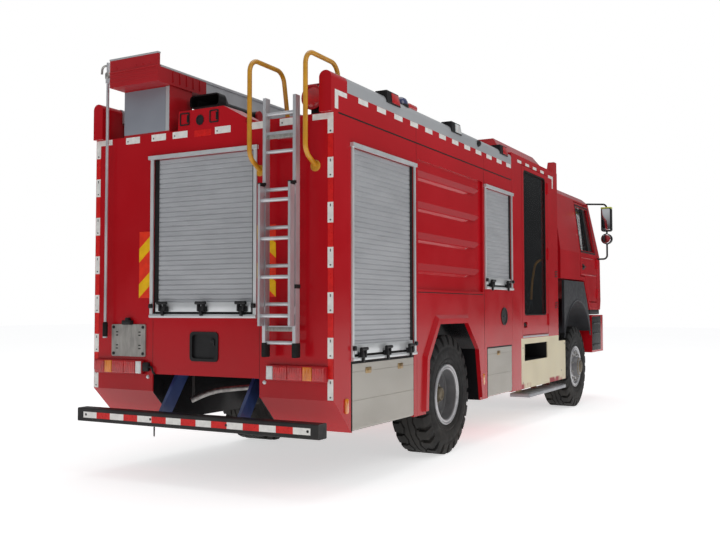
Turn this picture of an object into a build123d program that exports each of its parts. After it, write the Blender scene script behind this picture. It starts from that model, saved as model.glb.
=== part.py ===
from build123d import *
import math
import os

os.makedirs("parts", exist_ok=True)

# Airport fire truck: two axles, cab over engine, crew cabin and equipment body.
# X forward, Y left, Z up, millimetres, tyres on Z = 0.

# Driving dimensions
BODY_WIDTH = 2500
WHEELBASE = 4850
REAR_OVERHANG = 2335
FRONT_OVERHANG = 1665
BAR_REACH = 200
TYRE_DIAMETER = 1180
TYRE_WIDTH = 390
RIM_DIAMETER = 600
BEAD_DROP = 32
TRACK = 2030
FRAME_LIFT = 590
BODY_HEIGHT = 1790
BAY_BACK = 835
TANK_LEAD = 915
CREW_BACK = 1075
CAB_GAP = 190
NOSE_BACK = 170
FIT = 6
PIN_FIT = 0.3
WALL = 50
SEAM = 4
LOCKER_SHARE = 0.32657

HALF = BODY_WIDTH / 2
TYRE_RADIUS = TYRE_DIAMETER / 2
FLANGE_RADIUS = RIM_DIAMETER / 2
BEAD_RADIUS = FLANGE_RADIUS - BEAD_DROP
FRONT_FACE = REAR_OVERHANG + WHEELBASE + FRONT_OVERHANG
REAR_WALL_X = (BAR_REACH - FRONT_FACE) / 2
REAR_AXLE = REAR_OVERHANG
FRONT_AXLE = REAR_OVERHANG + WHEELBASE
AXLE_Z = TYRE_RADIUS

# Lengthwise places, counted ahead of the rear wall
BAY_END = REAR_AXLE - BAY_BACK
TANK_END = REAR_AXLE + TANK_LEAD
CREW_END = FRONT_AXLE - CREW_BACK
LOCKER_END = TANK_END + LOCKER_SHARE * (CREW_END - TANK_END)
CREW_LENGTH = CREW_END - LOCKER_END
CAB_REAR = CREW_END + CAB_GAP
CAB_NOSE = FRONT_FACE - NOSE_BACK

# Heights
SKIRT_DROP = 715
PARAPET_RISE = 190
RAIL_RISE = 132
CREW_ROOF_RISE = 340
FRAME_TOP_Z = AXLE_Z + FRAME_LIFT
SKIRT_Z = FRAME_TOP_Z - SKIRT_DROP
DECK_Z = FRAME_TOP_Z + BODY_HEIGHT
PARAPET_Z = DECK_Z + PARAPET_RISE
RAIL_TOP_Z = PARAPET_Z + RAIL_RISE
CREW_ROOF_Z = DECK_Z + CREW_ROOF_RISE

# Frame
FRAME_DEPTH = 280
FRAME_OUT = 430
FRAME_WEB = 80
FRAME_REAR = 150
BUMPER_DEPTH = 200
TUNNEL_GAP = 130
FRAME_IN = FRAME_OUT - FRAME_WEB
FRAME_BOTTOM_Z = FRAME_TOP_Z - FRAME_DEPTH
FRAME_FRONT = FRONT_FACE - BUMPER_DEPTH
TUNNEL_HALF = FRAME_OUT + TUNNEL_GAP

# How far a cutting tool runs past the face that it cuts
OVERCUT = 10


def block(a0, a1, y0, y1, z0, z1, mode=Mode.ADD):
    """Box between two stations ahead of the rear wall, two widths and two heights."""
    with Locations((REAR_WALL_X + (a0 + a1) / 2, (y0 + y1) / 2, (z0 + z1) / 2)):
        Box(abs(a1 - a0), abs(y1 - y0), abs(z1 - z0), mode=mode)


def side_face(points, y):
    """Side-view outline of (station, height) points at one width."""
    with BuildSketch(Plane.XZ.offset(-y)) as outline:
        with BuildLine():
            Polyline(*[(REAR_WALL_X + a, z) for a, z in points], close=True)
        make_face()
    return outline.sketch


def side_prism(points, y0, y1, mode=Mode.ADD):
    """Side-view outline carried across the width."""
    extrude(side_face(points, max(y0, y1)), amount=abs(y1 - y0), mode=mode)


def side_loft(points_in, points_out, y0, y1, mode=Mode.ADD):
    """Body with straight flanks between two side-view outlines at two widths."""
    loft(sections=[side_face(points_in, y0), side_face(points_out, y1)], ruled=True, mode=mode)


def end_prism(points, a0, a1, mode=Mode.ADD):
    """End-view outline of (width, height) points carried along the length."""
    with BuildSketch(Plane.YZ.offset(REAR_WALL_X + a0)) as outline:
        with BuildLine():
            Polyline(*points, close=True)
        make_face()
    extrude(outline.sketch, amount=a1 - a0, mode=mode)


def plan_rectangle(a0, a1, half, z):
    """Plan outline between two stations, even about the middle."""
    with BuildSketch(Plane.XY.offset(z)) as outline:
        with Locations((REAR_WALL_X + (a0 + a1) / 2, 0)):
            Rectangle(a1 - a0, 2 * half)
    return outline.sketch


def rod_x(a0, a1, y, z, radius, mode=Mode.ADD):
    """Round bar along the length."""
    with BuildSketch(Plane.YZ.offset(REAR_WALL_X + min(a0, a1))) as ring:
        with Locations((y, z)):
            Circle(radius)
    extrude(ring.sketch, amount=abs(a1 - a0), mode=mode)


def rod_y(a, y0, y1, z, radius, mode=Mode.ADD):
    """Round bar across the width."""
    with BuildSketch(Plane.XZ.offset(-max(y0, y1))) as ring:
        with Locations((REAR_WALL_X + a, z)):
            Circle(radius)
    extrude(ring.sketch, amount=abs(y1 - y0), mode=mode)


def rod_z(a, y, z0, z1, radius, mode=Mode.ADD):
    """Upright round bar."""
    with BuildSketch(Plane.XY.offset(z0)) as ring:
        with Locations((REAR_WALL_X + a, y)):
            Circle(radius)
    extrude(ring.sketch, amount=z1 - z0, mode=mode)


def pipe(points, bend, radius):
    """Round tube bent along a line of points."""
    with BuildLine() as route:
        FilletPolyline(*points, radius=bend)
    with BuildSketch(Plane(origin=route.line @ 0, z_dir=route.line % 0)) as tube:
        Circle(radius)
    sweep(tube.sketch, path=route.line)


def both_sides():
    return (-1, 1)


SIDE_NAMES = {-1: "right", 1: "left"}
KNUCKLE_HALF = 25
HINGE_PIN = 9


def hinge_lugs(a, y, heights, radius):
    """Fixed half of a door's hinges: two lugs and a pin at each height."""
    for height in heights:
        low = height - KNUCKLE_HALF - PIN_FIT
        high = height + KNUCKLE_HALF + PIN_FIT
        rod_z(a, y, low, high, radius + FIT, Mode.SUBTRACT)
        rod_z(a, y, height - 3 * KNUCKLE_HALF, low, radius)
        rod_z(a, y, high, height + 3 * KNUCKLE_HALF, radius)
        rod_z(a, y, height - 2 * KNUCKLE_HALF, height + 2 * KNUCKLE_HALF, HINGE_PIN)


def hinge_barrels(a, y, heights, radius):
    """Moving half: a bored barrel at each height, the door cut clear of the lugs."""
    for height in heights:
        for way in both_sides():
            low = height + way * 2 * KNUCKLE_HALF - KNUCKLE_HALF
            below = FIT * (1 - way) / 2
            above = FIT * (1 + way) / 2
            rod_z(a, y, low - below, low + 2 * KNUCKLE_HALF + above, radius + FIT, Mode.SUBTRACT)
        rod_z(a, y, height - KNUCKLE_HALF, height + KNUCKLE_HALF, radius)
        rod_z(a, y, height - KNUCKLE_HALF, height + KNUCKLE_HALF, HINGE_PIN + PIN_FIT, Mode.SUBTRACT)


# Ladder frame with the rear towing plate
TOW_HOLE_RADIUS = 25
TOW_A = 95
TOW_REACH = 60
TOW_HALF = 70
TOW_LIFT = 30
TOW_THICK = 50
TOW_Z0 = FRAME_BOTTOM_Z + TOW_LIFT
CROSS_WIDTH = 90
CROSS_LIFT = 20
CROSS_DROP = 40
CROSS_REAR_BACK = 1185
CROSS_MID_LEAD = 765
CROSS_CASE_BACK = 2585
CROSS_NOSE_LEAD = 1015
CROSS_PLACES = (FRAME_REAR, REAR_AXLE - CROSS_REAR_BACK, REAR_AXLE + CROSS_MID_LEAD,
                FRONT_AXLE - CROSS_CASE_BACK, FRONT_AXLE + CROSS_NOSE_LEAD)
HANGER_DROP = 30
HANGER_HALF = 45
SPRING_HALF = 650
CAB_PIVOT_BACK = 250
CAB_PIVOT_RISE = 190
CAB_PIVOT_EYE = 40
CAB_PIVOT_PIN = 25
CAB_PIVOT_END = 10
CAB_EAR = 40
CAB_EAR_GAP = 5
CAB_LOW_RISE = 690
CAB_REST_LEAD = 70
CAB_REST_LONG = 70
CAB_PIVOT_A = FRONT_FACE - CAB_PIVOT_BACK
CAB_PIVOT_Z = FRAME_TOP_Z + CAB_PIVOT_RISE
CAB_LOW_Z = FRAME_TOP_Z + CAB_LOW_RISE
CAB_REST_A = CAB_REAR + CAB_REST_LEAD
with BuildPart() as chassis_frame:
    for side in both_sides():
        block(FRAME_REAR, FRAME_FRONT, side * FRAME_IN, side * FRAME_OUT, FRAME_BOTTOM_Z, FRAME_TOP_Z)
        for axle in (REAR_AXLE, FRONT_AXLE):
            for way in both_sides():
                hanger = axle + way * SPRING_HALF
                block(hanger - HANGER_HALF, hanger + HANGER_HALF, side * FRAME_IN, side * FRAME_OUT,
                      FRAME_BOTTOM_Z - HANGER_DROP, FRAME_BOTTOM_Z)
    for place in CROSS_PLACES:
        block(place, place + CROSS_WIDTH, -FRAME_IN, FRAME_IN, FRAME_BOTTOM_Z + CROSS_LIFT,
              FRAME_TOP_Z - CROSS_DROP)
    for side in both_sides():
        block(CAB_PIVOT_A - CAB_PIVOT_EYE, CAB_PIVOT_A + CAB_PIVOT_EYE, side * FRAME_IN, side * FRAME_OUT,
              FRAME_TOP_Z, CAB_PIVOT_Z)
        rod_y(CAB_PIVOT_A, side * FRAME_IN, side * FRAME_OUT, CAB_PIVOT_Z, CAB_PIVOT_EYE)
        pin_end = FRAME_OUT + CAB_EAR_GAP + CAB_EAR + CAB_PIVOT_END
        rod_y(CAB_PIVOT_A, side * FRAME_OUT, side * pin_end, CAB_PIVOT_Z, CAB_PIVOT_PIN)
        block(CAB_REST_A, CAB_REST_A + CAB_REST_LONG, side * FRAME_IN, side * FRAME_OUT, FRAME_TOP_Z,
              CAB_LOW_Z - PIN_FIT)
    block(TOW_A - TOW_REACH, FRAME_REAR, -TOW_HALF, TOW_HALF, TOW_Z0, TOW_Z0 + TOW_THICK)
    rod_z(TOW_A, 0, TOW_Z0, TOW_Z0 + TOW_THICK, TOW_HOLE_RADIUS, Mode.SUBTRACT)
chassis_frame.part.label = "chassis_frame"
export_step(chassis_frame.part, "parts/chassis_frame.step")

# Leaf springs, sitting on the axle seats and hung under the rails
SPRING_SEAT = 110
SPRING_GAP = 5
SPRING_EYE = 40
SPRING_LEAF = 34
SPRING_MID = 340
SPRING_FLAT = 120
SPRING_BOW = 40
SPRING_PACK = 92
SPRING_SEAT_Z = AXLE_Z + SPRING_SEAT
SPRING_TOP_Z = FRAME_BOTTOM_Z - HANGER_DROP
SPRING_END = SPRING_HALF + SPRING_EYE
SPRING_LOW = [(-SPRING_END, SPRING_TOP_Z - SPRING_LEAF), (-SPRING_MID, SPRING_SEAT_Z + SPRING_BOW),
              (-SPRING_FLAT, SPRING_SEAT_Z)]
SPRING_HIGH = [(SPRING_END, SPRING_TOP_Z), (SPRING_HALF - SPRING_EYE, SPRING_TOP_Z),
               (SPRING_MID, SPRING_SEAT_Z + SPRING_PACK)]
with BuildPart() as leaf_springs:
    for axle in (REAR_AXLE, FRONT_AXLE):
        lower = [(axle + a, z) for a, z in SPRING_LOW] + [(axle - a, z) for a, z in reversed(SPRING_LOW)]
        upper = [(axle + a, z) for a, z in SPRING_HIGH] + [(axle - a, z) for a, z in reversed(SPRING_HIGH)]
        for side in both_sides():
            side_prism(lower + upper, side * (FRAME_IN + SPRING_GAP), side * (FRAME_OUT - SPRING_GAP))
leaf_springs.part.label = "leaf_springs"
export_step(leaf_springs.part, "parts/leaf_springs.step")

# Rear driven axle with its casing, spring seats and brake drums
AXLE_TUBE = 75
DIFF_RADIUS = 205
DIFF_HALF = 150
NOSE_LENGTH = 330
NOSE_RADIUS = 85
STUB_RADIUS = 45
STUB_REACH = 20
DRUM_GAP = 68
DRUM_WIDTH = 120
DRUM_BACK = 110
SEAT_HALF = 90
WHEEL_Y = TRACK / 2
REAR_DRUM_OUT = WHEEL_Y - DRUM_BACK
DRUM_RADIUS = BEAD_RADIUS - DRUM_GAP
with BuildPart() as rear_axle:
    rod_y(REAR_AXLE, -REAR_DRUM_OUT, REAR_DRUM_OUT, AXLE_Z, AXLE_TUBE)
    rod_y(REAR_AXLE, -DIFF_HALF, DIFF_HALF, AXLE_Z, DIFF_RADIUS)
    rod_x(REAR_AXLE, REAR_AXLE + NOSE_LENGTH, 0, AXLE_Z, NOSE_RADIUS)
    for side in both_sides():
        rod_y(REAR_AXLE, side * (REAR_DRUM_OUT - DRUM_WIDTH), side * REAR_DRUM_OUT, AXLE_Z, DRUM_RADIUS)
        rod_y(REAR_AXLE, side * REAR_DRUM_OUT, side * (WHEEL_Y + STUB_REACH), AXLE_Z, STUB_RADIUS)
        block(REAR_AXLE - SEAT_HALF, REAR_AXLE + SEAT_HALF, side * FRAME_IN, side * FRAME_OUT, AXLE_Z,
              SPRING_SEAT_Z)
rear_axle.part.label = "rear_axle"
export_step(rear_axle.part, "parts/rear_axle.step")

# Front driven axle, its ends bored for the kingpins
KINGPIN_INSET = 85
KINGPIN_RADIUS = 30
FIST_RADIUS = 62
FIST_HALF = 85
FRONT_DIFF_RADIUS = 150
FRONT_DIFF_HALF = 120
FRONT_TUBE = 65
KINGPIN_Y = WHEEL_Y - KINGPIN_INSET
with BuildPart() as front_axle:
    rod_y(FRONT_AXLE, -KINGPIN_Y, KINGPIN_Y, AXLE_Z, FRONT_TUBE)
    rod_y(FRONT_AXLE, -FRONT_DIFF_HALF, FRONT_DIFF_HALF, AXLE_Z, FRONT_DIFF_RADIUS)
    rod_x(FRONT_AXLE - NOSE_LENGTH, FRONT_AXLE, 0, AXLE_Z, NOSE_RADIUS)
    for side in both_sides():
        block(FRONT_AXLE - SEAT_HALF, FRONT_AXLE + SEAT_HALF, side * FRAME_IN, side * FRAME_OUT, AXLE_Z,
              SPRING_SEAT_Z)
        rod_z(FRONT_AXLE, side * KINGPIN_Y, AXLE_Z - FIST_HALF, AXLE_Z + FIST_HALF, FIST_RADIUS)
    for side in both_sides():
        rod_z(FRONT_AXLE, side * KINGPIN_Y, AXLE_Z - FIST_HALF, AXLE_Z + FIST_HALF,
              KINGPIN_RADIUS + PIN_FIT, Mode.SUBTRACT)
front_axle.part.label = "front_axle"
export_step(front_axle.part, "parts/front_axle.step")

# Engine, gearbox, transfer case, radiator and shafts as one plain mass
ENGINE_BACK = 705
ENGINE_LEAD = 375
ENGINE_DROP = 220
ENGINE_RISE = 580
CASE_BACK = 2285
CASE_LONG = 400
CASE_DROP = 70
GEARBOX_HALF = 230
GEARBOX_DROP = 250
GEARBOX_TOP = 20
SHAFT_RADIUS = 45
RADIATOR_LEAD = 815
RADIATOR_THICK = 140
RADIATOR_RISE = 220
FAN_HALF = 120
FAN_DROP = 180
FAN_RISE = 120
CASE_REAR = FRONT_AXLE - CASE_BACK
CASE_FRONT = CASE_REAR + CASE_LONG
ENGINE_REAR = FRONT_AXLE - ENGINE_BACK
ENGINE_FRONT = FRONT_AXLE + ENGINE_LEAD
RADIATOR_A = FRONT_AXLE + RADIATOR_LEAD
GEARBOX_Z0 = FRAME_TOP_Z - GEARBOX_DROP
GEARBOX_Z1 = FRAME_TOP_Z - GEARBOX_TOP
with BuildPart() as powertrain:
    block(ENGINE_REAR, ENGINE_FRONT, -FRAME_IN, FRAME_IN, FRAME_TOP_Z - ENGINE_DROP,
          FRAME_TOP_Z + ENGINE_RISE)
    block(CASE_FRONT, ENGINE_REAR, -GEARBOX_HALF, GEARBOX_HALF, GEARBOX_Z0, GEARBOX_Z1)
    block(CASE_REAR, CASE_FRONT, -FRAME_IN, FRAME_IN, AXLE_Z - CASE_DROP, GEARBOX_Z1)
    rod_x(REAR_AXLE + NOSE_LENGTH, CASE_REAR, 0, AXLE_Z, SHAFT_RADIUS)
    rod_x(CASE_FRONT, FRONT_AXLE - NOSE_LENGTH, 0, AXLE_Z, SHAFT_RADIUS)
    block(RADIATOR_A, RADIATOR_A + RADIATOR_THICK, -FRAME_IN, FRAME_IN, GEARBOX_Z0,
          FRAME_TOP_Z + RADIATOR_RISE)
    block(ENGINE_FRONT, RADIATOR_A, -FAN_HALF, FAN_HALF, FRAME_TOP_Z - FAN_DROP, FRAME_TOP_Z + FAN_RISE)
powertrain.part.label = "powertrain"
export_step(powertrain.part, "parts/powertrain.step")

# Rear underrun bar and its two slanted struts
BAR_INSET = 15
BAR_LIFT = 2
BAR_HEIGHT = 116
BAR_THICK = 120
BAR_ROUND = 10
BAR_LIP = 15
STRUT_INSET = 5
STRUT_THICK = 30
STRUT_FOOT = 90
STRUT_HEAD = 160
BAR_HALF = HALF - BAR_INSET
BAR_Z0 = SKIRT_Z + BAR_LIFT
BAR_Z1 = BAR_Z0 + BAR_HEIGHT
BAR_FRONT = BAR_THICK - BAR_REACH
STRUT_OUT = FRAME_OUT - STRUT_INSET
STRUT_LINE = [(BAR_FRONT, BAR_Z0 + BAR_LIP), (BAR_FRONT, BAR_Z1 - BAR_LIP), (FRAME_REAR, FRAME_BOTTOM_Z),
              (FRAME_REAR + STRUT_HEAD, FRAME_BOTTOM_Z), (BAR_FRONT + STRUT_FOOT, BAR_Z0 + BAR_LIP)]
with BuildPart() as underrun_bar:
    block(-BAR_REACH, BAR_FRONT, -BAR_HALF, BAR_HALF, BAR_Z0, BAR_Z1)
    fillet(underrun_bar.edges().filter_by(Axis.Y), BAR_ROUND)
underrun_bar.part.label = "underrun_bar"
export_step(underrun_bar.part, "parts/underrun_bar.step")

with BuildPart() as underrun_struts:
    for side in both_sides():
        side_prism(STRUT_LINE, side * (STRUT_OUT - STRUT_THICK), side * STRUT_OUT)
underrun_struts.part.label = "underrun_struts"
export_step(underrun_struts.part, "parts/underrun_struts.step")

# Equipment body, rear section: hollow bay with shutter openings on three sides
REAR_OPEN_MARGIN = 720
REAR_OPEN_SHIFT = 30
REAR_OPEN_LIFT = 220
OPEN_TOP_DROP = 230
SIDE_OPEN_A0 = 305
SIDE_OPEN_BACK = 65
SIDE_OPEN_DROP = 120
VALANCE_DROP = 295
VALANCE_THICK = 30
CORNER_RISE = 274
CORNER_A = 275
FLAP_THICK = 40
FLAP_FOOT = 10
FLAP_HEAD = 56
FLAP_EDGE = 15
FLAP_BACK = 75
POCKET_RIM = 40
POCKET_DEEP = 490
POCKET_FLOOR = 45
POCKET_HEAD = 30
FLAP_PIN = 10
FLAP_PIN_REACH = 20
FLAP_PIN_ROOT = 5
CAP_A0 = -40
CAP_LONG = 250
CAP_WIDE = 110
PARAPET_THICK = 60
RAIL_WIDE = 130
RAIL_ROUND = 52
HATCH_HALF = 138
HATCH_DROP = 164
HATCH_TALL = 226
HATCH_DEEP = 20
FAIRING_LONG = 260
BOX_INSET = 855
FAIRING_GAP = 95
FAIRING_RIGHT = 410
FAIRING_FLAT = 190
FAIRING_LEAN = 10
FAIRING_RISE = 165
FAIRING_TOE = 45
BOX_Y0 = HALF - BOX_INSET
FAIRING_LEFT = BOX_Y0 - FAIRING_GAP
REAR_OPEN_HALF = HALF - REAR_OPEN_MARGIN
REAR_OPEN_LEFT = REAR_OPEN_SHIFT + REAR_OPEN_HALF
REAR_OPEN_RIGHT = REAR_OPEN_SHIFT - REAR_OPEN_HALF
REAR_OPEN_Z0 = FRAME_TOP_Z + REAR_OPEN_LIFT
REAR_OPEN_Z1 = DECK_Z - OPEN_TOP_DROP
SIDE_OPEN_A1 = BAY_END - SIDE_OPEN_BACK
SIDE_OPEN_Z0 = FRAME_TOP_Z - SIDE_OPEN_DROP
SIDE_OPEN_Z1 = DECK_Z - OPEN_TOP_DROP
VALANCE_Z = FRAME_TOP_Z - VALANCE_DROP
CORNER_Z = SKIRT_Z + CORNER_RISE
FLAP_Z0 = SKIRT_Z + FLAP_FOOT
FLAP_Z1 = SIDE_OPEN_Z0 - FLAP_HEAD
REAR_FLAP_A0 = CORNER_A + FLAP_EDGE
REAR_FLAP_A1 = BAY_END - FLAP_BACK
FLAP_PIN_Z = FLAP_Z0 + FLAP_THICK / 2
FLAP_PIN_Y = HALF - FLAP_THICK / 2
CAP_A1 = CAP_A0 + CAP_LONG


def lower_pocket(a0, a1, side):
    """Opening for a fold-down door and the locker behind it, with the door's pins."""
    block(a0 - FIT, a1 + FIT, side * (HALF - FLAP_THICK - FIT), side * (HALF + OVERCUT), SKIRT_Z - OVERCUT,
          FLAP_Z1 + FIT, Mode.SUBTRACT)
    block(a0 + POCKET_RIM, a1 - POCKET_RIM, side * (HALF - POCKET_DEEP), side * (HALF - FLAP_THICK),
          FLAP_Z0 + POCKET_FLOOR, FLAP_Z1 - POCKET_HEAD, Mode.SUBTRACT)
    rod_x(a0 - FIT - FLAP_PIN_ROOT, a0 + FLAP_PIN_REACH, side * FLAP_PIN_Y, FLAP_PIN_Z, FLAP_PIN)
    rod_x(a1 - FLAP_PIN_REACH, a1 + FIT + FLAP_PIN_ROOT, side * FLAP_PIN_Y, FLAP_PIN_Z, FLAP_PIN)


def edge_rail(side, wide, low, shoulder, a0, a1):
    """Rail with round shoulders along the body's upper edge."""
    with BuildSketch(Plane.YZ.offset(REAR_WALL_X + a0)) as section:
        with Locations((side * (HALF - wide / 2), (low + RAIL_TOP_Z) / 2)):
            Rectangle(wide, RAIL_TOP_Z - low)
        fillet(section.vertices().group_by(Axis.Y)[-1], shoulder)
    extrude(section.sketch, amount=a1 - a0)


CORNER_LINE = [(0, FRAME_TOP_Z), (0, CORNER_Z), (CORNER_A, SKIRT_Z), (BAY_END, SKIRT_Z),
               (BAY_END, FRAME_TOP_Z)]
FAIRING_TOP = DECK_Z + FAIRING_RISE
FAIRING_LINE = [(FAIRING_LEFT, DECK_Z), (FAIRING_LEFT - FAIRING_LEAN, FAIRING_TOP),
                (-FAIRING_FLAT, FAIRING_TOP),
                (-FAIRING_RIGHT, DECK_Z + FAIRING_TOE), (-FAIRING_RIGHT, DECK_Z)]
with BuildPart() as rear_body:
    block(0, BAY_END, -HALF, HALF, FRAME_TOP_Z, DECK_Z)
    for side in both_sides():
        side_prism(CORNER_LINE, side * TUNNEL_HALF, side * HALF)
    block(0, VALANCE_THICK, -TUNNEL_HALF, TUNNEL_HALF, VALANCE_Z, FRAME_TOP_Z)
    for side in both_sides():
        block(CAP_A1, BAY_END, side * (HALF - PARAPET_THICK), side * HALF, DECK_Z, PARAPET_Z)
        edge_rail(side, CAP_WIDE, DECK_Z, RAIL_ROUND, CAP_A0, CAP_A1)
    block(WALL, BAY_END - WALL, -HALF + WALL, HALF - WALL, FRAME_TOP_Z + WALL, DECK_Z - WALL, Mode.SUBTRACT)
    block(-OVERCUT, WALL + OVERCUT, REAR_OPEN_RIGHT, REAR_OPEN_LEFT, REAR_OPEN_Z0, REAR_OPEN_Z1,
          Mode.SUBTRACT)
    for side in both_sides():
        block(SIDE_OPEN_A0, SIDE_OPEN_A1, side * TUNNEL_HALF, side * (HALF - WALL), SIDE_OPEN_Z0,
              FRAME_TOP_Z + WALL + OVERCUT, Mode.SUBTRACT)
        block(SIDE_OPEN_A0, SIDE_OPEN_A1, side * (HALF - WALL - OVERCUT), side * (HALF + OVERCUT),
              SIDE_OPEN_Z0, SIDE_OPEN_Z1, Mode.SUBTRACT)
        lower_pocket(REAR_FLAP_A0, REAR_FLAP_A1, side)
    hatch_z0 = FRAME_TOP_Z - HATCH_DROP
    block(-OVERCUT, HATCH_DEEP, -HATCH_HALF, HATCH_HALF, hatch_z0, hatch_z0 + HATCH_TALL, Mode.SUBTRACT)
    end_prism(FAIRING_LINE, 0, FAIRING_LONG)
rear_body.part.label = "rear_body"
export_step(rear_body.part, "parts/rear_body.step")

# Equipment body, middle section over the rear wheels, with embossed side panels
ARCH_FOOT_HALF = 704
ARCH_FOOT_LEAD = 63
ARCH_SIDE_HALF = 635
ARCH_SIDE_LEAD = 25
ARCH_SIDE_RISE = 370
ARCH_TOP_HALF = 357
ARCH_TOP_RISE = 705
ARCH_FRONT_RISE = 426
ARCH_IN = 640
PANEL_IN = 25
PANEL_LIFT = 445
PANEL_DROP = 140
PANEL_REAR = 30
PANEL_FRONT = 40
RIB_FIRST = 0.17
RIB_STEP = 0.2407
RIB_COUNT = 4
RIB_UP = 38
RIB_DOWN = 62
RIB_RIDGE = 42
RIB_FLAT = 10
RIB_POINT = 480
RIB_PROUD = 23
TANK_SKIN = 90
TANK_FLOOR = 220
MIDDLE_A0 = BAY_END + SEAM
ARCH = [(REAR_AXLE + ARCH_FOOT_LEAD - ARCH_FOOT_HALF, SKIRT_Z - OVERCUT),
        (REAR_AXLE + ARCH_SIDE_LEAD - ARCH_SIDE_HALF, AXLE_Z + ARCH_SIDE_RISE),
        (REAR_AXLE - ARCH_TOP_HALF, AXLE_Z + ARCH_TOP_RISE),
        (REAR_AXLE + ARCH_TOP_HALF, AXLE_Z + ARCH_TOP_RISE),
        (REAR_AXLE + ARCH_SIDE_LEAD + ARCH_SIDE_HALF, AXLE_Z + ARCH_FRONT_RISE),
        (REAR_AXLE + ARCH_FOOT_LEAD + ARCH_FOOT_HALF, SKIRT_Z - OVERCUT)]
PANEL_A0 = MIDDLE_A0 + PANEL_REAR
PANEL_A1 = TANK_END - PANEL_FRONT
PANEL_Z0 = FRAME_TOP_Z + PANEL_LIFT
PANEL_Z1 = DECK_Z - PANEL_DROP
with BuildPart() as tank_body:
    block(MIDDLE_A0, TANK_END, -HALF, HALF, FRAME_TOP_Z, DECK_Z)
    for side in both_sides():
        block(MIDDLE_A0, TANK_END, side * TUNNEL_HALF, side * HALF, SKIRT_Z, FRAME_TOP_Z)
        block(MIDDLE_A0, TANK_END, side * (HALF - PARAPET_THICK), side * HALF, DECK_Z, PARAPET_Z)
        block(PANEL_A0, PANEL_A1, side * (HALF - PANEL_IN), side * (HALF + OVERCUT), PANEL_Z0, PANEL_Z1,
              Mode.SUBTRACT)
        for number in range(RIB_COUNT):
            rib_z = PANEL_Z0 + (RIB_FIRST + number * RIB_STEP) * (PANEL_Z1 - PANEL_Z0)
            foot = [(PANEL_A0, rib_z + RIB_UP), (PANEL_A1, rib_z + RIB_UP),
                    (PANEL_A1 - RIB_POINT, rib_z - RIB_DOWN), (PANEL_A0, rib_z - RIB_DOWN)]
            ridge_z = rib_z - RIB_RIDGE
            ridge = [(PANEL_A0, ridge_z + RIB_FLAT), (PANEL_A1 - RIB_POINT / 2, ridge_z + RIB_FLAT),
                     (PANEL_A1 - RIB_POINT, ridge_z), (PANEL_A0, ridge_z)]
            side_loft(foot, ridge, side * (HALF - PANEL_IN), side * (HALF - PANEL_IN + RIB_PROUD))
        side_prism(ARCH, side * (TUNNEL_HALF - OVERCUT), side * (HALF + OVERCUT), Mode.SUBTRACT)
        block(MIDDLE_A0, TANK_END, side * (TUNNEL_HALF - OVERCUT), side * ARCH_IN, SKIRT_Z - OVERCUT,
              FRAME_TOP_Z, Mode.SUBTRACT)
    block(MIDDLE_A0 + WALL, TANK_END - WALL, -HALF + TANK_SKIN, HALF - TANK_SKIN, FRAME_TOP_Z + TANK_FLOOR,
          DECK_Z - WALL, Mode.SUBTRACT)
tank_body.part.label = "tank_body"
export_step(tank_body.part, "parts/tank_body.step")

# Faceted flares round the rear wheel openings, narrowing outward
FLARE_OUT = 30
FLARE_WIDE = 96
FLARE_NARROW = 58
FLARE_FOOT = 30


def flare_line(wide):
    """The wheel opening's outline moved away from the axle."""
    line = []
    for a, z in ARCH:
        grow = 1 + wide / math.hypot(a - REAR_AXLE, z - AXLE_Z)
        line.append((REAR_AXLE + (a - REAR_AXLE) * grow,
                     max(AXLE_Z + (z - AXLE_Z) * grow, SKIRT_Z + FLARE_FOOT)))
    return line


with BuildPart() as wheel_flares:
    for side in both_sides():
        side_loft(flare_line(FLARE_WIDE), flare_line(FLARE_NARROW), side * HALF, side * (HALF + FLARE_OUT))
        side_prism(ARCH, side * (HALF - OVERCUT), side * (HALF + FLARE_OUT + OVERCUT), Mode.SUBTRACT)
wheel_flares.part.label = "wheel_flares"
export_step(wheel_flares.part, "parts/wheel_flares.step")

# Equipment body, front lockers
NARROW_REAR = 50
NARROW_FRONT = 34
NARROW_LIFT = 510
NARROW_DROP = 190
FRONT_FLAP_REAR = 90
FRONT_FLAP_FRONT = 44
LOCKER_A0 = TANK_END + SEAM
LOCKER_A1 = LOCKER_END - SEAM
NARROW_A0 = TANK_END + NARROW_REAR
NARROW_A1 = LOCKER_END - NARROW_FRONT
NARROW_Z0 = FRAME_TOP_Z + NARROW_LIFT
NARROW_Z1 = DECK_Z - NARROW_DROP
FRONT_FLAP_A0 = TANK_END + FRONT_FLAP_REAR
FRONT_FLAP_A1 = LOCKER_END - FRONT_FLAP_FRONT
with BuildPart() as locker_body:
    block(LOCKER_A0, LOCKER_A1, -HALF, HALF, FRAME_TOP_Z, DECK_Z)
    for side in both_sides():
        block(LOCKER_A0, LOCKER_A1, side * TUNNEL_HALF, side * HALF, SKIRT_Z, FRAME_TOP_Z)
        block(LOCKER_A0, LOCKER_A1, side * (HALF - PARAPET_THICK), side * HALF, DECK_Z, PARAPET_Z)
    block(LOCKER_A0 + WALL, LOCKER_A1 - WALL, -HALF + WALL, HALF - WALL, FRAME_TOP_Z + WALL, DECK_Z - WALL,
          Mode.SUBTRACT)
    for side in both_sides():
        block(NARROW_A0, NARROW_A1, side * (HALF - WALL - OVERCUT), side * (HALF + OVERCUT), NARROW_Z0,
              NARROW_Z1, Mode.SUBTRACT)
        lower_pocket(FRONT_FLAP_A0, FRONT_FLAP_A1, side)
locker_body.part.label = "locker_body"
export_step(locker_body.part, "parts/locker_body.step")

# Roller shutters, closed: curtains of interlocked slats in the body openings
SLAT_PITCH = 42
SLAT_BULGE = 7
SLAT_FOOT = 0.12
SLAT_HEAD = 0.80
CURTAIN_IN = 34
CURTAIN_OUT = 14


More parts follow.
